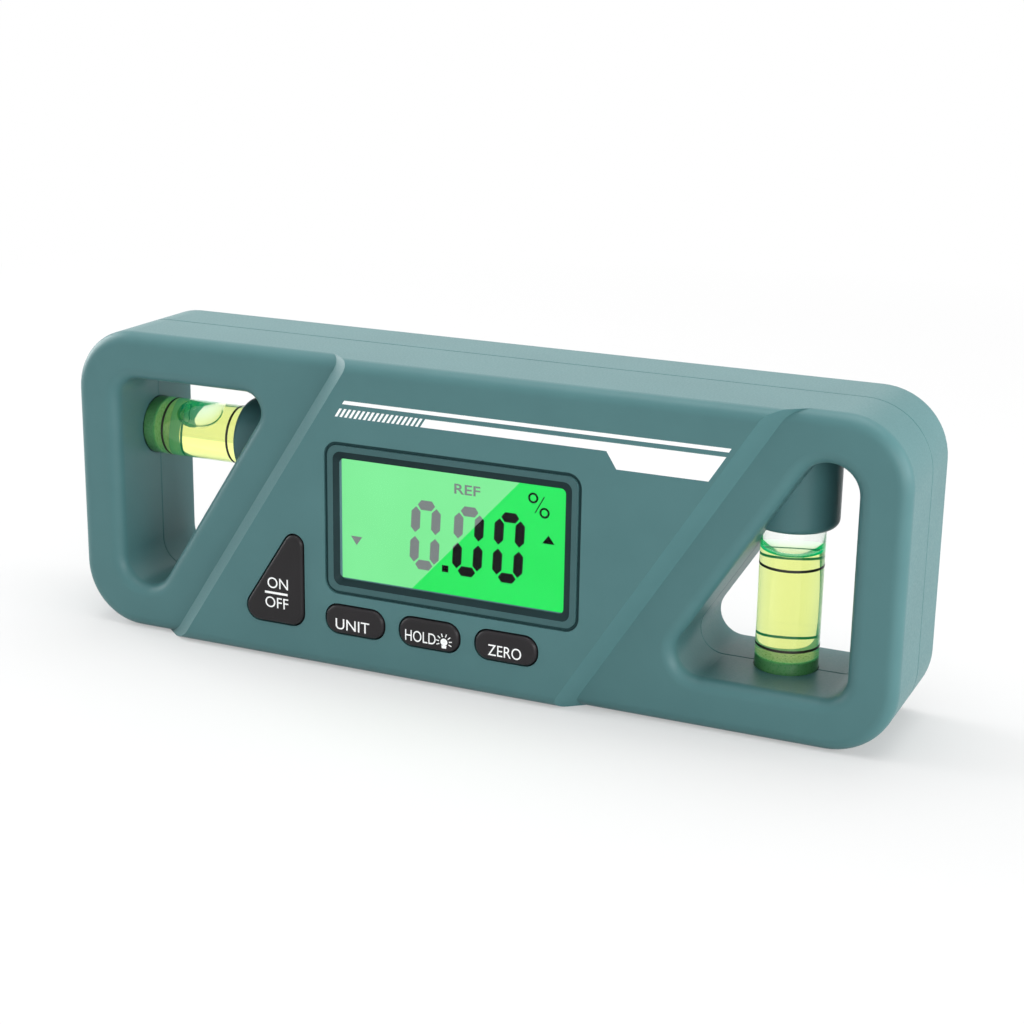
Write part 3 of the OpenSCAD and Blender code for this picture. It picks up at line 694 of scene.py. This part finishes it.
class Lettering:
    """Words set in Blender's own typeface and turned into thin raised meshes."""

    # Height of a capital as a share of the typeface's size.
    capital_share = 0.729
    smoothness = 6
    thickness = 0.03 * MM

    @staticmethod
    def mesh(words: str, height: float, weight: float) -> bpy.types.Mesh:
        """Sets words as a mesh that stands on the origin.

        Args:
            words: The words.
            height: Height of a capital, in metres.
            weight: How much the strokes are thickened, as a share of the height.

        Returns:
            The mesh.
        """
        curve = bpy.data.curves.new("letters", "FONT")
        curve.body = words
        curve.align_x = "CENTER"
        curve.size = height / Lettering.capital_share
        curve.offset = weight * height
        curve.extrude = Lettering.thickness / 2
        curve.resolution_u = Lettering.smoothness
        thing = bpy.data.objects.new("letters", curve)
        bpy.context.scene.collection.objects.link(thing)
        graph = bpy.context.evaluated_depsgraph_get()
        mesh = bpy.data.meshes.new_from_object(thing.evaluated_get(graph))
        bpy.data.objects.remove(thing)
        bpy.data.curves.remove(curve)
        return mesh

    @staticmethod
    def set(
        work: Work,
        words: str,
        centre: Pair,
        height: float,
        front: float,
        width: float,
        weight: float = 0.0,
    ) -> None:
        """Adds words that face the viewer of the display.

        Args:
            work: The bmesh to add to.
            words: The words.
            centre: Middle of the words as (x, z) in millimetres.
            height: Height of a capital, in millimetres.
            front: Place of their front along Y, in metres.
            width: Width of the words, in millimetres.
            weight: How much the strokes are thickened, as a share of the height.
        """
        mesh = Lettering.mesh(words, height * MM, weight)
        places = [vert.co.x for vert in mesh.vertices]
        squeeze = width * MM / (max(places) - min(places))
        mesh.transform(Matrix.Translation((-(max(places) + min(places)) / 2, 0, 0)))
        depth = front + Lettering.thickness / 2
        middle = Vector((centre[0] * MM, depth, (centre[1] - height / 2) * MM))
        mesh.transform(Matrix.Translation(middle) @ UPRIGHT @ Matrix.Diagonal((squeeze, 1, 1, 1)))
        work.from_mesh(mesh)
        bpy.data.meshes.remove(mesh)


@dataclass
class Housing:
    """The two shells and the hatch, with the white print on the raised panel."""

    lean: float = 336 / 527
    print_thickness: float = 0.01 * MM
    stripe: Box = (-20.4, 48.54, 48.8, 49.19)
    bar: Pair = (46.25, 47.74)
    bar_ends: Pair = (-5.48, 48.42)
    badge_left: float = 28.17
    badge_base: float = 43.4
    hatch_start: float = -21.86
    hatch_count: int = 18
    hatch_pitch: float = 0.906
    hatch_width: float = 0.50

    def build(self) -> None:
        """Paints the shells and prints the stripe, the hatching and the bare badge."""
        Bench.dress(("front_housing", "rear_housing", "battery_hatch"), Finishes.HOUSING)
        self.print_piece("panel_stripe", [self.leaning(self.stripe)])
        self.print_piece("panel_hatching", self.hatching())
        self.print_piece("panel_badge", [self.badge()])

    def print_piece(self, name: str, outlines: Iterable[Sequence[Pair]]) -> None:
        """Prints white shapes on the panel as one piece.

        Args:
            name: Name of the piece.
            outlines: Outline of each shape, in millimetres.
        """
        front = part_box("front_housing")[0].y - self.print_thickness
        work = bmesh.new()
        for outline in outlines:
            Bench.flat(work, outline, front, self.print_thickness)
        Bench.piece(work, name, Finishes.INK, Body.GAUGE)

    def leaning(self, box: Box) -> list[Pair]:
        """Gives the corners of a box whose ends lean as the ramps do."""
        return [(x + (z - box[1]) * self.lean, z) for x, z in Bench.corners(box)]

    def hatching(self) -> list[list[Pair]]:
        """Gives the row of slanted ticks that leads into the bar.

        Returns:
            The outline of each tick, in millimetres.
        """
        low, high = self.bar
        starts = [self.hatch_start + index * self.hatch_pitch for index in range(self.hatch_count)]
        return [self.leaning((left, low, left + self.hatch_width, high)) for left in starts]

    def badge(self) -> tuple[Pair, ...]:
        """Gives the bar that widens into a bare badge.

        Returns:
            Its outline, in millimetres.
        """
        low, high = self.bar
        left, right = self.bar_ends
        base = self.badge_base
        return (
            (left, low),
            (self.badge_left, low),
            (self.badge_left + (low - base) * self.lean, base),
            (right - (high - base) * self.lean, base),
            (right, high),
            (left + (high - low) * self.lean, high),
        )


@dataclass
class KeyPad:
    """The four keys and their legends."""

    letter_height: float = 2.1
    legend_thickness: float = 0.01 * MM
    legends: dict[Body, tuple[str, Pair, float]] = field(
        default_factory=lambda: {
            Body.UNIT_KEY: ("UNIT", (-18.45, 8.95), 6.7),
            Body.HOLD_KEY: ("HOLD", (-5.1, 9.12), 5.9),
            Body.ZERO_KEY: ("ZERO", (10.9, 9.0), 6.2),
        }
    )
    bulb_place: Pair = (-0.55, 8.85)
    bulb_radius: float = 0.66
    bulb_core: float = 0.05
    bulb_foot: tuple[Pair, ...] = ((-0.40, -1.15), (0.40, -1.15), (0.50, -0.64), (-0.50, -0.64))
    ray_reach: Pair = (0.95, 1.55)
    ray_half: float = 0.09
    ray_turns: tuple[float, ...] = (-22, 8, 40, 72, 108, 140, 172, 202)
    power_words: tuple[tuple[str, Pair, float], ...] = (
        ("ON", (-33.5, 14.5), 4.2),
        ("OFF", (-33.75, 10.85), 4.7),
    )
    power_bar: Box = (-36.15, 12.36, -31.5, 12.78)

    def build(self) -> None:
        """Paints the keys and prints their legends."""
        Bench.dress((body.value for body in (Body.POWER_KEY, *self.legends)), Finishes.KEY)
        for body in self.legends:
            self.print_row_key(body)
        self.print_power_key()

    def front(self, body: Body) -> float:
        """Place along Y of the print's front on a key."""
        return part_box(body.value)[0].y - self.legend_thickness

    def print_row_key(self, body: Body) -> None:
        """Prints one word on a key of the row, and the lamp sign beside the word of the middle key.

        Args:
            body: The key's body.
        """
        words, centre, width = self.legends[body]
        front = self.front(body)
        work = bmesh.new()
        Lettering.set(work, words, centre, self.letter_height, front, width)
        if body is Body.HOLD_KEY:
            self.add_bulb(work, front)
        Bench.piece(work, body.value + "_legend", Finishes.INK, body)

    def add_bulb(self, work: Work, front: float) -> None:
        """Adds the lamp sign: a bulb on its cap, and a ring of rays over it.

        Args:
            work: The bmesh to add to.
            front: Place of its front along Y, in metres.
        """
        glass, core = (
            Bench.circle(work, self.bulb_place, radius, front)
            for radius in (self.bulb_radius, self.bulb_core)
        )
        Bench.band(work, glass, core, self.legend_thickness)
        middle = Vector(self.bulb_place)
        shapes = [[Vector(corner) for corner in self.bulb_foot]]
        near, far = self.ray_reach
        for degrees in self.ray_turns:
            turn = math.radians(degrees)
            ray = Vector((math.cos(turn), math.sin(turn)))
            side = Vector((-ray.y, ray.x)) * self.ray_half
            shapes.append([near * ray - side, far * ray - side, far * ray + side, near * ray + side])
        for shape in shapes:
            Bench.flat(work, [tuple(middle + corner) for corner in shape], front, self.legend_thickness)

    def print_power_key(self) -> None:
        """Prints the two words of the power key with the bar between them."""
        front = self.front(Body.POWER_KEY)
        work = bmesh.new()
        for words, centre, width in self.power_words:
            Lettering.set(work, words, centre, self.letter_height, front, width)
        Bench.flat(work, Bench.corners(self.power_bar), front, self.legend_thickness)
        Bench.piece(work, "power_key_legend", Finishes.INK, Body.POWER_KEY)


@dataclass
class Display:
    """The clear window in its recess with painted shade, the lit cell behind it, the segments that it
    shows and a painted sheen over them.
    """

    window_gap: float = 0.3 * MM
    window_soft: float = 0.12 * MM
    window_steps: int = 2
    corner_steps: int = 6
    digit_feet: tuple[Pair, ...] = ((-5.75, 21.3), (2.4, 21.3), (9.95, 21.3))
    digit_height: float = 10.7
    digit_half: float = 1.93
    digit_lean: float = 0.045
    upright: Pair = (4.65, 1.72)
    upright_tip: float = 0.5
    upright_shares: Pair = (0.25, 0.75)
    level: Pair = (3.3, 1.72)
    level_tip: float = 0.38
    point: Box = (-2.25, 20.65, -1.05, 21.85)
    rings: tuple[Pair, ...] = ((14.55, 36.0), (16.65, 33.65))
    ring_radii: Pair = (0.92, 0.58)
    slash: tuple[Pair, ...] = ((14.85, 33.5), (15.05, 33.5), (16.65, 36.4), (16.45, 36.4))
    arrow_up: tuple[Pair, ...] = ((16.35, 28.4), (18.6, 28.4), (17.45, 29.85))
    arrow_down: tuple[Pair, ...] = ((-19.95, 24.6), (-18.85, 23.0), (-17.75, 24.6))
    word_place: Pair = (2.4, 35.8)
    word_size: Pair = (4.85, 1.8)
    word_weight: float = 0.02
    ink_depth: float = 0.08 * MM
    ink_thickness: float = 0.03 * MM
    # The recess that the painted shade covers, from its mouth at the panel to its lip at the window.
    recess_mouth: Box = (-22.38, 15.9, 22.38, 40.1)
    recess_lip: Box = (-21.54, 16.9, 20.96, 38.7)
    recess_radii: Pair = (1.5, 0.9)
    shade_start: float = 0.05
    recess_lip_depth: float = 0.85
    rim: Box = (-23.43, 14.87, 23.43, 41.13)
    rim_radius: float = 1.95
    groove: Box = (-24.08, 14.22, 24.08, 41.78)
    groove_radius: float = 2.58
    groove_depth: float = 0.47
    skin: float = 0.02
    # Where the painted sheen lies over the window.
    sheen_edge: tuple[Pair, Pair] = ((-8.2, 16.5), (12.05, 38.3))
    sheen_margin: float = 0.2
    sheen_thickness: float = 0.01 * MM

    def build(self) -> None:
        """Paints the cell and makes the window, the painted shade of its recess, the bezel, the segments
        and the painted sheen.
        """
        Bench.dress(("lcd_cell",), Finishes.LIT)
        self.make_window()
        self.make_recess_shade()
        self.make_bezel()
        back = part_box("lcd_cell")[0].y
        self.make_segments(back - self.ink_depth)
        self.make_painted_sheen(back - 2 * self.ink_depth)

    def make_window(self) -> None:
        """Makes the clear window with softened edges, clear of the cell behind it."""
        low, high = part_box("display_lens")
        high.y -= self.window_gap
        shape = Matrix.Translation((low + high) / 2) @ Matrix.Diagonal((*(high - low), 1.0))
        work = bmesh.new()
        bmesh.ops.create_cube(work, size=1.0)
        bmesh.ops.transform(work, matrix=shape, verts=work.verts[:])
        bmesh.ops.bevel(
            work,
            geom=work.edges[:],
            offset=self.window_soft,
            affect="EDGES",
            segments=self.window_steps,
            profile=0.5,
            material=-1,
        )
        Bench.piece(work, "display_window", Finishes.LENS, Body.GAUGE, Slot.LENS, ("display_lens",))

    def loop(self, work: Work, box: Box, radius: float, place: float) -> Edges:
        """Adds a rounded rectangle as a closed row of edges.

        Args:
            work: The bmesh to add to.
            box: Left, low, right and high side, in millimetres.
            radius: Radius of its corners, in millimetres.
            place: Its place along Y, in metres.

        Returns:
            The edges.
        """
        left, low, right, high = box
        spots = ((right, high), (left, high), (left, low), (right, low))
        known = set(work.faces)
        corners = [work.verts.new((x * MM, place, z * MM)) for x, z in spots]
        work.faces.new(corners)
        bmesh.ops.bevel(
            work,
            geom=corners,
            offset=radius * MM,
            affect="VERTICES",
            segments=self.corner_steps,
            profile=0.5,
            material=-1,
        )
        plate = next(face for face in work.faces if face not in known)
        edges = list(plate.edges)
        bmesh.ops.delete(work, geom=[plate], context="FACES_ONLY")
        return edges

    def make_recess_shade(self) -> None:
        """Makes the painted shade of the recess: a dark closed skin that leads from the panel down to the
        window.
        """
        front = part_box("front_housing")[0].y
        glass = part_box("display_lens")[0].y
        mouth_radius, lip_radius = self.recess_radii
        stations = (
            (self.recess_mouth, mouth_radius, front + self.shade_start * MM),
            (self.recess_lip, lip_radius, front + self.recess_lip_depth * MM),
            (self.recess_lip, lip_radius, glass - self.skin * MM),
        )
        work = bmesh.new()
        seen = [self.loop(work, box, radius, place) for box, radius, place in stations]
        hidden = [
            self.loop(work, self.grown(box), radius + self.skin, place) for box, radius, place in stations
        ]
        rows = seen + hidden[::-1]
        for row, following in zip(rows, rows[1:] + rows[:1]):
            bmesh.ops.bridge_loops(work, edges=row + following)
        bmesh.ops.recalc_face_normals(work, faces=work.faces[:])
        # Painted shade: a near-black skin over the recess walls.
        Bench.piece(work, "display_recess_painted_shade", Finishes.RECESS_SHADE, Body.GAUGE)

    def grown(self, box: Box) -> Box:
        """Gives a box that is a skin larger on each side."""
        left, low, right, high = box
        return left - self.skin, low - self.skin, right + self.skin, high + self.skin

    def make_bezel(self) -> None:
        """Makes the painted shade on the floor of the bezel's groove, and the rim between the groove and
        the recess.
        """
        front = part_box("front_housing")[0].y
        groove = (self.groove, self.groove_radius)
        rim = (self.rim, self.rim_radius)
        mouth = (self.recess_mouth, self.recess_radii[0])
        floor = front + self.groove_depth * MM
        # Painted shade on the groove's floor.
        self.make_ring("display_groove_painted_shade", Finishes.GROOVE_SHADE, (groove, rim), floor)
        self.make_ring("display_rim", Finishes.RIM, (rim, mouth), front - self.skin / 2 * MM)

    def make_ring(
        self, name: str, finish: Finishes, edges: Iterable[tuple[Box, float]], place: float
    ) -> None:
        """Makes a thin skin between two rounded rectangles.

        Args:
            name: Name of the piece.
            finish: Its finish.
            edges: Box and corner radius of its outer edge, then of its inner edge, in millimetres.
            place: Place of its front along Y, in metres.
        """
        work = bmesh.new()
        outer, inner = (self.loop(work, box, radius, place) for box, radius in edges)
        Bench.band(work, outer, inner, self.skin * MM)
        Bench.piece(work, name, finish, Body.GAUGE)

    def make_segments(self, front: float) -> None:
        """Makes the digits, the point and the signs around them.

        Args:
            front: Place of their front along Y, in metres.
        """
        work = bmesh.new()
        for foot in self.digit_feet:
            for outline in self.nought():
                leaning = [(foot[0] + x + z * self.digit_lean, foot[1] + z) for x, z in outline]
                Bench.flat(work, leaning, front, self.ink_thickness)
        Bench.flat(work, Bench.corners(self.point), front, self.ink_thickness)
        self.add_signs(work, front)
        Bench.piece(work, "display_segments", Finishes.SEGMENT, Body.GAUGE, Slot.LCD)

    def nought(self) -> list[list[Pair]]:
        """Gives the six pointed strokes of a nought, about the middle of its foot.

        Returns:
            The outline of each stroke, in millimetres.
        """
        strokes = []
        length, width = self.level
        level = self.stroke(length, width, self.level_tip * width)
        for middle in (0.0, self.digit_height):
            strokes.append([(along, middle + across) for along, across in level])
        length, width = self.upright
        upright = self.stroke(length, width, self.upright_tip * width)
        for side in (-self.digit_half, self.digit_half):
            for share in self.upright_shares:
                middle = self.digit_height * share
                strokes.append([(side - across, middle + along) for along, across in upright])
        return strokes

    @staticmethod
    def stroke(length: float, width: float, tip: float) -> list[Pair]:
        """Gives the outline of a stroke with pointed ends, about its middle.

        Args:
            length: Length of the stroke.
            width: Width of the stroke.
            tip: Length of each pointed end.

        Returns:
            Its corners as (along, across).
        """
        half, side = length / 2, width / 2
        neck = half - tip
        return [(-half, 0.0), (-neck, -side), (neck, -side), (half, 0.0), (neck, side), (-neck, side)]

    def add_signs(self, work: Work, front: float) -> None:
        """Adds the small word, the per cent sign and the two arrows of the display.

        Args:
            work: The bmesh to add to.
            front: Place of their front along Y, in metres.
        """
        width, height = self.word_size
        Lettering.set(work, "REF", self.word_place, height, front, width, weight=self.word_weight)
        for centre in self.rings:
            rows = [Bench.circle(work, centre, radius, front) for radius in self.ring_radii]
            Bench.band(work, *rows, self.ink_thickness)
        for outline in (self.slash, self.arrow_up, self.arrow_down):
            Bench.flat(work, outline, front, self.ink_thickness)

    def make_painted_sheen(self, front: float) -> None:
        """Makes the painted sheen over the left of the window: a pale sheet with its own light, with a
        slanted edge.

        Args:
            front: Place of its front along Y, in metres.
        """
        low, high = (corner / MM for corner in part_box("display_lens"))
        left, base = low.x + self.sheen_margin, low.z + self.sheen_margin
        top = high.z - self.sheen_margin
        (foot, foot_z), (head, head_z) = self.sheen_edge
        slope = (head - foot) / (head_z - foot_z)
        edge = [(foot + (z - foot_z) * slope, z) for z in (base, top)]
        work = bmesh.new()
        Bench.flat(work, [(left, base), *edge, (left, top)], front, self.sheen_thickness)
        # A painted reflection over the left of the window.
        Bench.piece(work, "painted_window_sheen", Finishes.PAINTED_SHEEN, Body.GAUGE, Slot.LENS)


@dataclass
class Vial:
    """A clear barrel with dyed spirit that has a painted glow, a plug and two black lines."""

    name: str
    turn: Matrix
    # The spirit's finish: its dye and its painted glow.
    dye: Finishes
    lines: Pair = (4.7, 18.7)
    line_width: float = 0.45
    line_sunk: float = 0.06
    line_proud: float = 0.03
    wall: float = 1.0
    end: float = 1.5
    plug: float = 2.5
    plug_soft: float = 0.3
    soft: float = 0.35
    slack: float = 0.02
    place: Matrix = field(init=False)
    radius: float = field(init=False)
    length: float = field(init=False)

    def __post_init__(self) -> None:
        """Finds the vial in the frame: the place of its plugged end, its radius and its length."""
        low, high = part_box(self.name + "_vial")
        size = (high - low) / MM
        self.radius = min(size) / 2
        self.length = max(size)
        foot = (low + high) / 2 - self.turn.to_3x3() @ Vector((0, 0, self.length / 2 * MM))
        self.place = Matrix.Translation(foot) @ self.turn

    def build(self) -> None:
        """Makes the barrel, the plug, the lines and the filling."""
        self.make_barrel()
        self.make_plug()
        self.make_lines()
        self.fill(self.radius - self.wall - self.slack, self.length - self.end)

    def make_barrel(self) -> None:
        """Makes the clear barrel with softened ends."""
        soft, radius, length = self.soft, self.radius, self.length
        rise = [(radius - soft, 0.0), (radius, soft), (radius, length - soft), (radius - soft, length)]
        work = bmesh.new()
        Bench.lathe(work, [(0.0, 0.0), *rise, (0.0, length)], self.place)
        node = self.name + "_vial"
        Bench.piece(work, self.name + "_barrel", Finishes.VIAL, Body.GAUGE, Slot.VIAL, (node,))

    def make_plug(self) -> None:
        """Makes the plug with a softened rim."""
        soft, base, top = self.plug_soft, 2 * self.slack, self.plug
        bore = self.radius - self.wall
        rise = [(bore - soft, base), (bore, soft), (bore, top - soft), (bore - soft, top)]
        work = bmesh.new()
        Bench.lathe(work, [(0.0, base), *rise, (0.0, top)], self.place)
        node = self.name + "_plug"
        Bench.piece(work, self.name + "_stopper", Finishes.PLUG, Body.GAUGE, Slot.PLUG, (node,))

    def make_lines(self) -> None:
        """Makes the two black lines around the barrel."""
        work = bmesh.new()
        inner, outer = self.radius - self.line_sunk, self.radius + self.line_proud
        for height in self.lines:
            low, high = height - self.line_width / 2, height + self.line_width / 2
            section = Bench.corners((inner, low, outer, high))
            Bench.lathe(work, [*section, section[0]], self.place)
        Bench.piece(work, self.name + "_lines", Finishes.RING, Body.GAUGE)

    def fill(self, bore: float, top: float) -> None:
        """Makes the dyed spirit and the air with it."""
        raise NotImplementedError

    def spirit(self, work: Work) -> None:
        """Makes the piece of dyed spirit, with its painted glow, out of a bmesh."""
        name, node = self.name + "_spirit", self.name + "_liquid"
        Bench.piece(work, name, self.dye, Body.GAUGE, Slot.LIQUID, (node,))

    def air(self, work: Work) -> None:
        """Makes the skin of the air, which faces inwards, out of a bmesh."""
        bmesh.ops.reverse_faces(work, faces=work.faces[:])
        Bench.piece(work, self.name + "_air", Finishes.AIR, Body.GAUGE)


@dataclass
class PlumbVial(Vial):
    """The upright vial, with air over its spirit."""

    level: float = 21.6
    climb: tuple[Pair, ...] = ((0.0, 0.0), (0.2, -0.4), (0.7, -0.8), (1.6, -1.05))
    sag: float = 1.15

    def fill(self, bore: float, top: float) -> None:
        """Makes the spirit with a rim that climbs the barrel, and the air over it.

        Args:
            bore: Radius of the filling, in millimetres.
            top: Height of the closed end, in millimetres.
        """
        surface = [(bore - inward, self.level + rise) for inward, rise in self.climb]
        surface.append((0.0, self.level - self.sag))
        foot = self.plug - self.slack
        work = bmesh.new()
        Bench.lathe(work, [(0.0, foot), (bore, foot), *surface], self.place)
        self.spirit(work)
        work = bmesh.new()
        raised = [(radius, height + self.slack) for radius, height in reversed(surface)]
        roof = [(bore, top - self.soft), (bore - self.soft, top), (0.0, top)]
        Bench.lathe(work, [*raised, *roof], self.place)
        self.air(work)


@dataclass
class LevelVial(Vial):
    """The lying vial, with a long bubble against its upper side."""

    bubble_place: float = 10.4
    bubble_size: Triple = (9.4, 7.0, 4.2)
    bubble_steps: int = 5

    def fill(self, bore: float, top: float) -> None:
        """Makes the spirit with the bubble as a hollow in it, and the bubble's skin.

        Args:
            bore: Radius of the filling, in millimetres.
            top: Height of the closed end, in millimetres.
        """
        work = bmesh.new()
        foot = self.plug - self.slack
        Bench.lathe(work, [(0.0, foot), (bore, foot), (bore, top), (0.0, top)], self.place)
        hollow = self.add_bubble(work, bore, 2 * self.slack)
        bmesh.ops.reverse_faces(work, faces=hollow)
        self.spirit(work)
        work = bmesh.new()
        self.add_bubble(work, bore, self.slack)
        self.air(work)

    def add_bubble(self, work: Work, bore: float, inset: float) -> list[bmesh.types.BMFace]:
        """Adds the bubble's skin.

        Args:
            work: The bmesh to add to.
            bore: Radius of the spirit, in millimetres.
            inset: How far the skin is drawn in, in millimetres.

        Returns:
            The faces of the skin.
        """
        length, width, height = (size / 2 - inset for size in self.bubble_size)
        roof = bore - inset
        made = bmesh.ops.create_icosphere(work, subdivisions=self.bubble_steps, radius=1.0)
        verts = made["verts"]
        for vert in verts:
            x, y, z = vert.co
            side = y * width
            rise = min(roof - height + x * height, math.sqrt(roof * roof - side * side))
            vert.co = Vector((-rise, side, z * length + self.bubble_place))
        bmesh.ops.transform(work, matrix=self.place @ Matrix.Scale(MM, 4), verts=verts)
        faces = list({face for vert in verts for face in vert.link_faces})
        bmesh.ops.recalc_face_normals(work, faces=faces)
        return faces


@dataclass
class Works:
    """The pieces inside the body and at its back."""

    keys: tuple[str, ...] = ("power", "unit", "hold", "zero")
    finishes: dict[str, Finishes] = field(
        default_factory=lambda: {
            "housing_screws": Finishes.STEEL,
            "board_screws": Finishes.STEEL,
            "link_contact": Finishes.STEEL,
            "positive_contact": Finishes.STEEL,
            "negative_contact": Finishes.STEEL,
            "left_magnet": Finishes.MAGNET,
            "right_magnet": Finishes.MAGNET,
            "backlight": Finishes.DIFFUSER,
            "lcd_contact_strip": Finishes.RUBBER,
            "circuit_board": Finishes.BOARD,
            "controller_chip": Finishes.CHIP,
            "tilt_sensor": Finishes.CHIP,
            "upper_battery": Finishes.UPPER_CELL,
            "lower_battery": Finishes.LOWER_CELL,
        }
    )

    def build(self) -> None:
        """Paints each inner piece."""
        for node, finish in self.finishes.items():
            Bench.dress((node,), finish)
        for key in self.keys:
            Bench.dress((key + "_switch",), Finishes.SWITCH)
            Bench.dress((key + "_stem",), Finishes.STEM)


@dataclass(frozen=True)
class Lamp:
    """A soft square lamp: its place and side are in metres, its power in watts."""

    name: str
    place: Triple
    side: float
    power: float

    def add(self, target: Vector) -> None:
        """Adds the lamp to the scene.

        Args:
            target: The point that it is aimed at, in metres.
        """
        light = bpy.data.lights.new(self.name, "AREA")
        light.energy = self.power
        light.size = self.side
        lamp = bpy.data.objects.new(self.name, light)
        lamp.location = self.place
        lamp.rotation_mode = "QUATERNION"
        lamp.rotation_quaternion = (target - Vector(self.place)).to_track_quat("-Z", "Y")
        bpy.context.scene.collection.objects.link(lamp)


@dataclass
class Studio:
    """Pale floor, soft light and the camera."""

    lens: float = 70.5
    sensor: float = 36.0
    clip: Pair = (0.01, 20.0)
    eye: Triple = (0.142635, -0.305248, 0.128536)
    azimuth: float = 24.194
    elevation: float = 16.522
    roll: float = 0.908
    fill: float = 0.44
    floor_size: float = 6.0
    floor_tone: Colour = (0.66, 0.66, 0.66)
    floor_share: float = 0.35
    fade: Pair = (0.12, 0.45)
    target: Triple = (0.0, 0.0, 0.028)
    lamps: tuple[Lamp, ...] = (
        Lamp("top_lamp", (0.05, 0.05, 0.9), 0.8, 6.2),
        Lamp("back_lamp", (-0.42, 0.9, 0.3), 0.9, 0.9),
        Lamp("right_lamp", (0.9, 0.05, 0.2), 0.6, 6.0),
        Lamp("front_lamp", (0.75, -0.6, 0.1), 0.6, 6.8),
        Lamp("left_lamp", (-0.9, 0.05, 0.35), 0.7, 9.0),
    )

    def build(self) -> None:
        """Makes the floor, the world, the lamps and the camera."""
        bpy.context.scene.view_settings.view_transform = "Standard"
        self.make_floor()
        self.make_world()
        for lamp in self.lamps:
            lamp.add(Vector(self.target))
        self.make_camera()

    def make_floor(self) -> None:
        """Makes the pale floor, which stays white in the picture and keeps a soft shadow."""
        work = bmesh.new()
        bmesh.ops.create_grid(work, x_segments=1, y_segments=1, size=self.floor_size / 2)
        mesh = bpy.data.meshes.new("floor")
        work.to_mesh(mesh)
        work.free()
        mesh.materials.append(self.floor_paint())
        floor = bpy.data.objects.new("floor", mesh)
        bpy.context.scene.collection.objects.link(floor)

    def floor_paint(self) -> bpy.types.Material:
        """Builds the floor's material.

        Returns:
            The material.
        """
        material = bpy.data.materials.new("pale_floor")
        sheet = NodeSheet(material)
        matte = sheet.put(sheet.add("ShaderNodeBsdfDiffuse"), Color=(*self.floor_tone, 1.0))
        white = sheet.put(sheet.add("ShaderNodeEmission"), Color=(*WHITE, 1.0), Strength=1.0)
        fade = sheet.spread(sheet.length(sheet.place()), self.floor_share, 1.0, self.fade)
        share = sheet.math("MULTIPLY", sheet.bright_rays(), fade)
        mix = sheet.add("ShaderNodeMixShader")
        for socket, source in zip(mix.inputs, (share, matte.outputs[0], white.outputs[0])):
            sheet.feed(socket, source)
        sheet.surface(mix)
        return material

    def make_world(self) -> None:
        """Makes a world that is white to look at and gives a soft even fill."""
        world = bpy.data.worlds.new("studio")
        bpy.context.scene.world = world
        sheet = NodeSheet(world)
        strength = sheet.spread(sheet.bright_rays(), self.fill, 1.0, (0.0, 1.0))
        background = sheet.add("ShaderNodeBackground")
        sheet.surface(sheet.put(background, Color=(*WHITE, 1.0), Strength=strength))

    def make_camera(self) -> None:
        """Makes the camera at the photograph's place and angle."""
        turn, tilt, roll = (math.radians(v) for v in (self.azimuth, self.elevation, self.roll))
        level = math.cos(tilt)
        back = Vector((math.sin(turn) * level, -math.cos(turn) * level, math.sin(tilt)))
        right = Vector((math.cos(turn), math.sin(turn), 0.0))
        up = right.cross(-back)
        across = right * math.cos(roll) + up * math.sin(roll)
        upright = up * math.cos(roll) - right * math.sin(roll)
        data = bpy.data.cameras.new("camera")
        data.sensor_fit = "HORIZONTAL"
        data.sensor_width = self.sensor
        data.lens = self.lens
        data.clip_start, data.clip_end = self.clip
        camera = bpy.data.objects.new("camera", data)
        grid = Matrix((across, upright, back)).transposed().to_4x4()
        camera.matrix_world = Matrix.Translation(self.eye) @ grid
        bpy.context.scene.collection.objects.link(camera)
        bpy.context.scene.camera = camera


def main() -> None:
    """Builds the studio and every sub-assembly in order."""
    logging.basicConfig(level=logging.INFO, format="%(name)s: %(message)s")
    steps: list[tuple[str, Callable[[], None]]] = [
        ("studio", Studio().build),
        ("housing", Housing().build),
        ("keys", KeyPad().build),
        ("display", Display().build),
        ("level vial", LevelVial("level", ALONG_X, Finishes.LEVEL_SPIRIT).build),
        ("plumb vial", PlumbVial("plumb", Matrix.Identity(4), Finishes.SPIRIT).build),
        ("works", Works().build),
    ]
    for name, build in steps:
        build()
        LOG.info("built the %s", name)


if __name__ == "__main__":
    main()
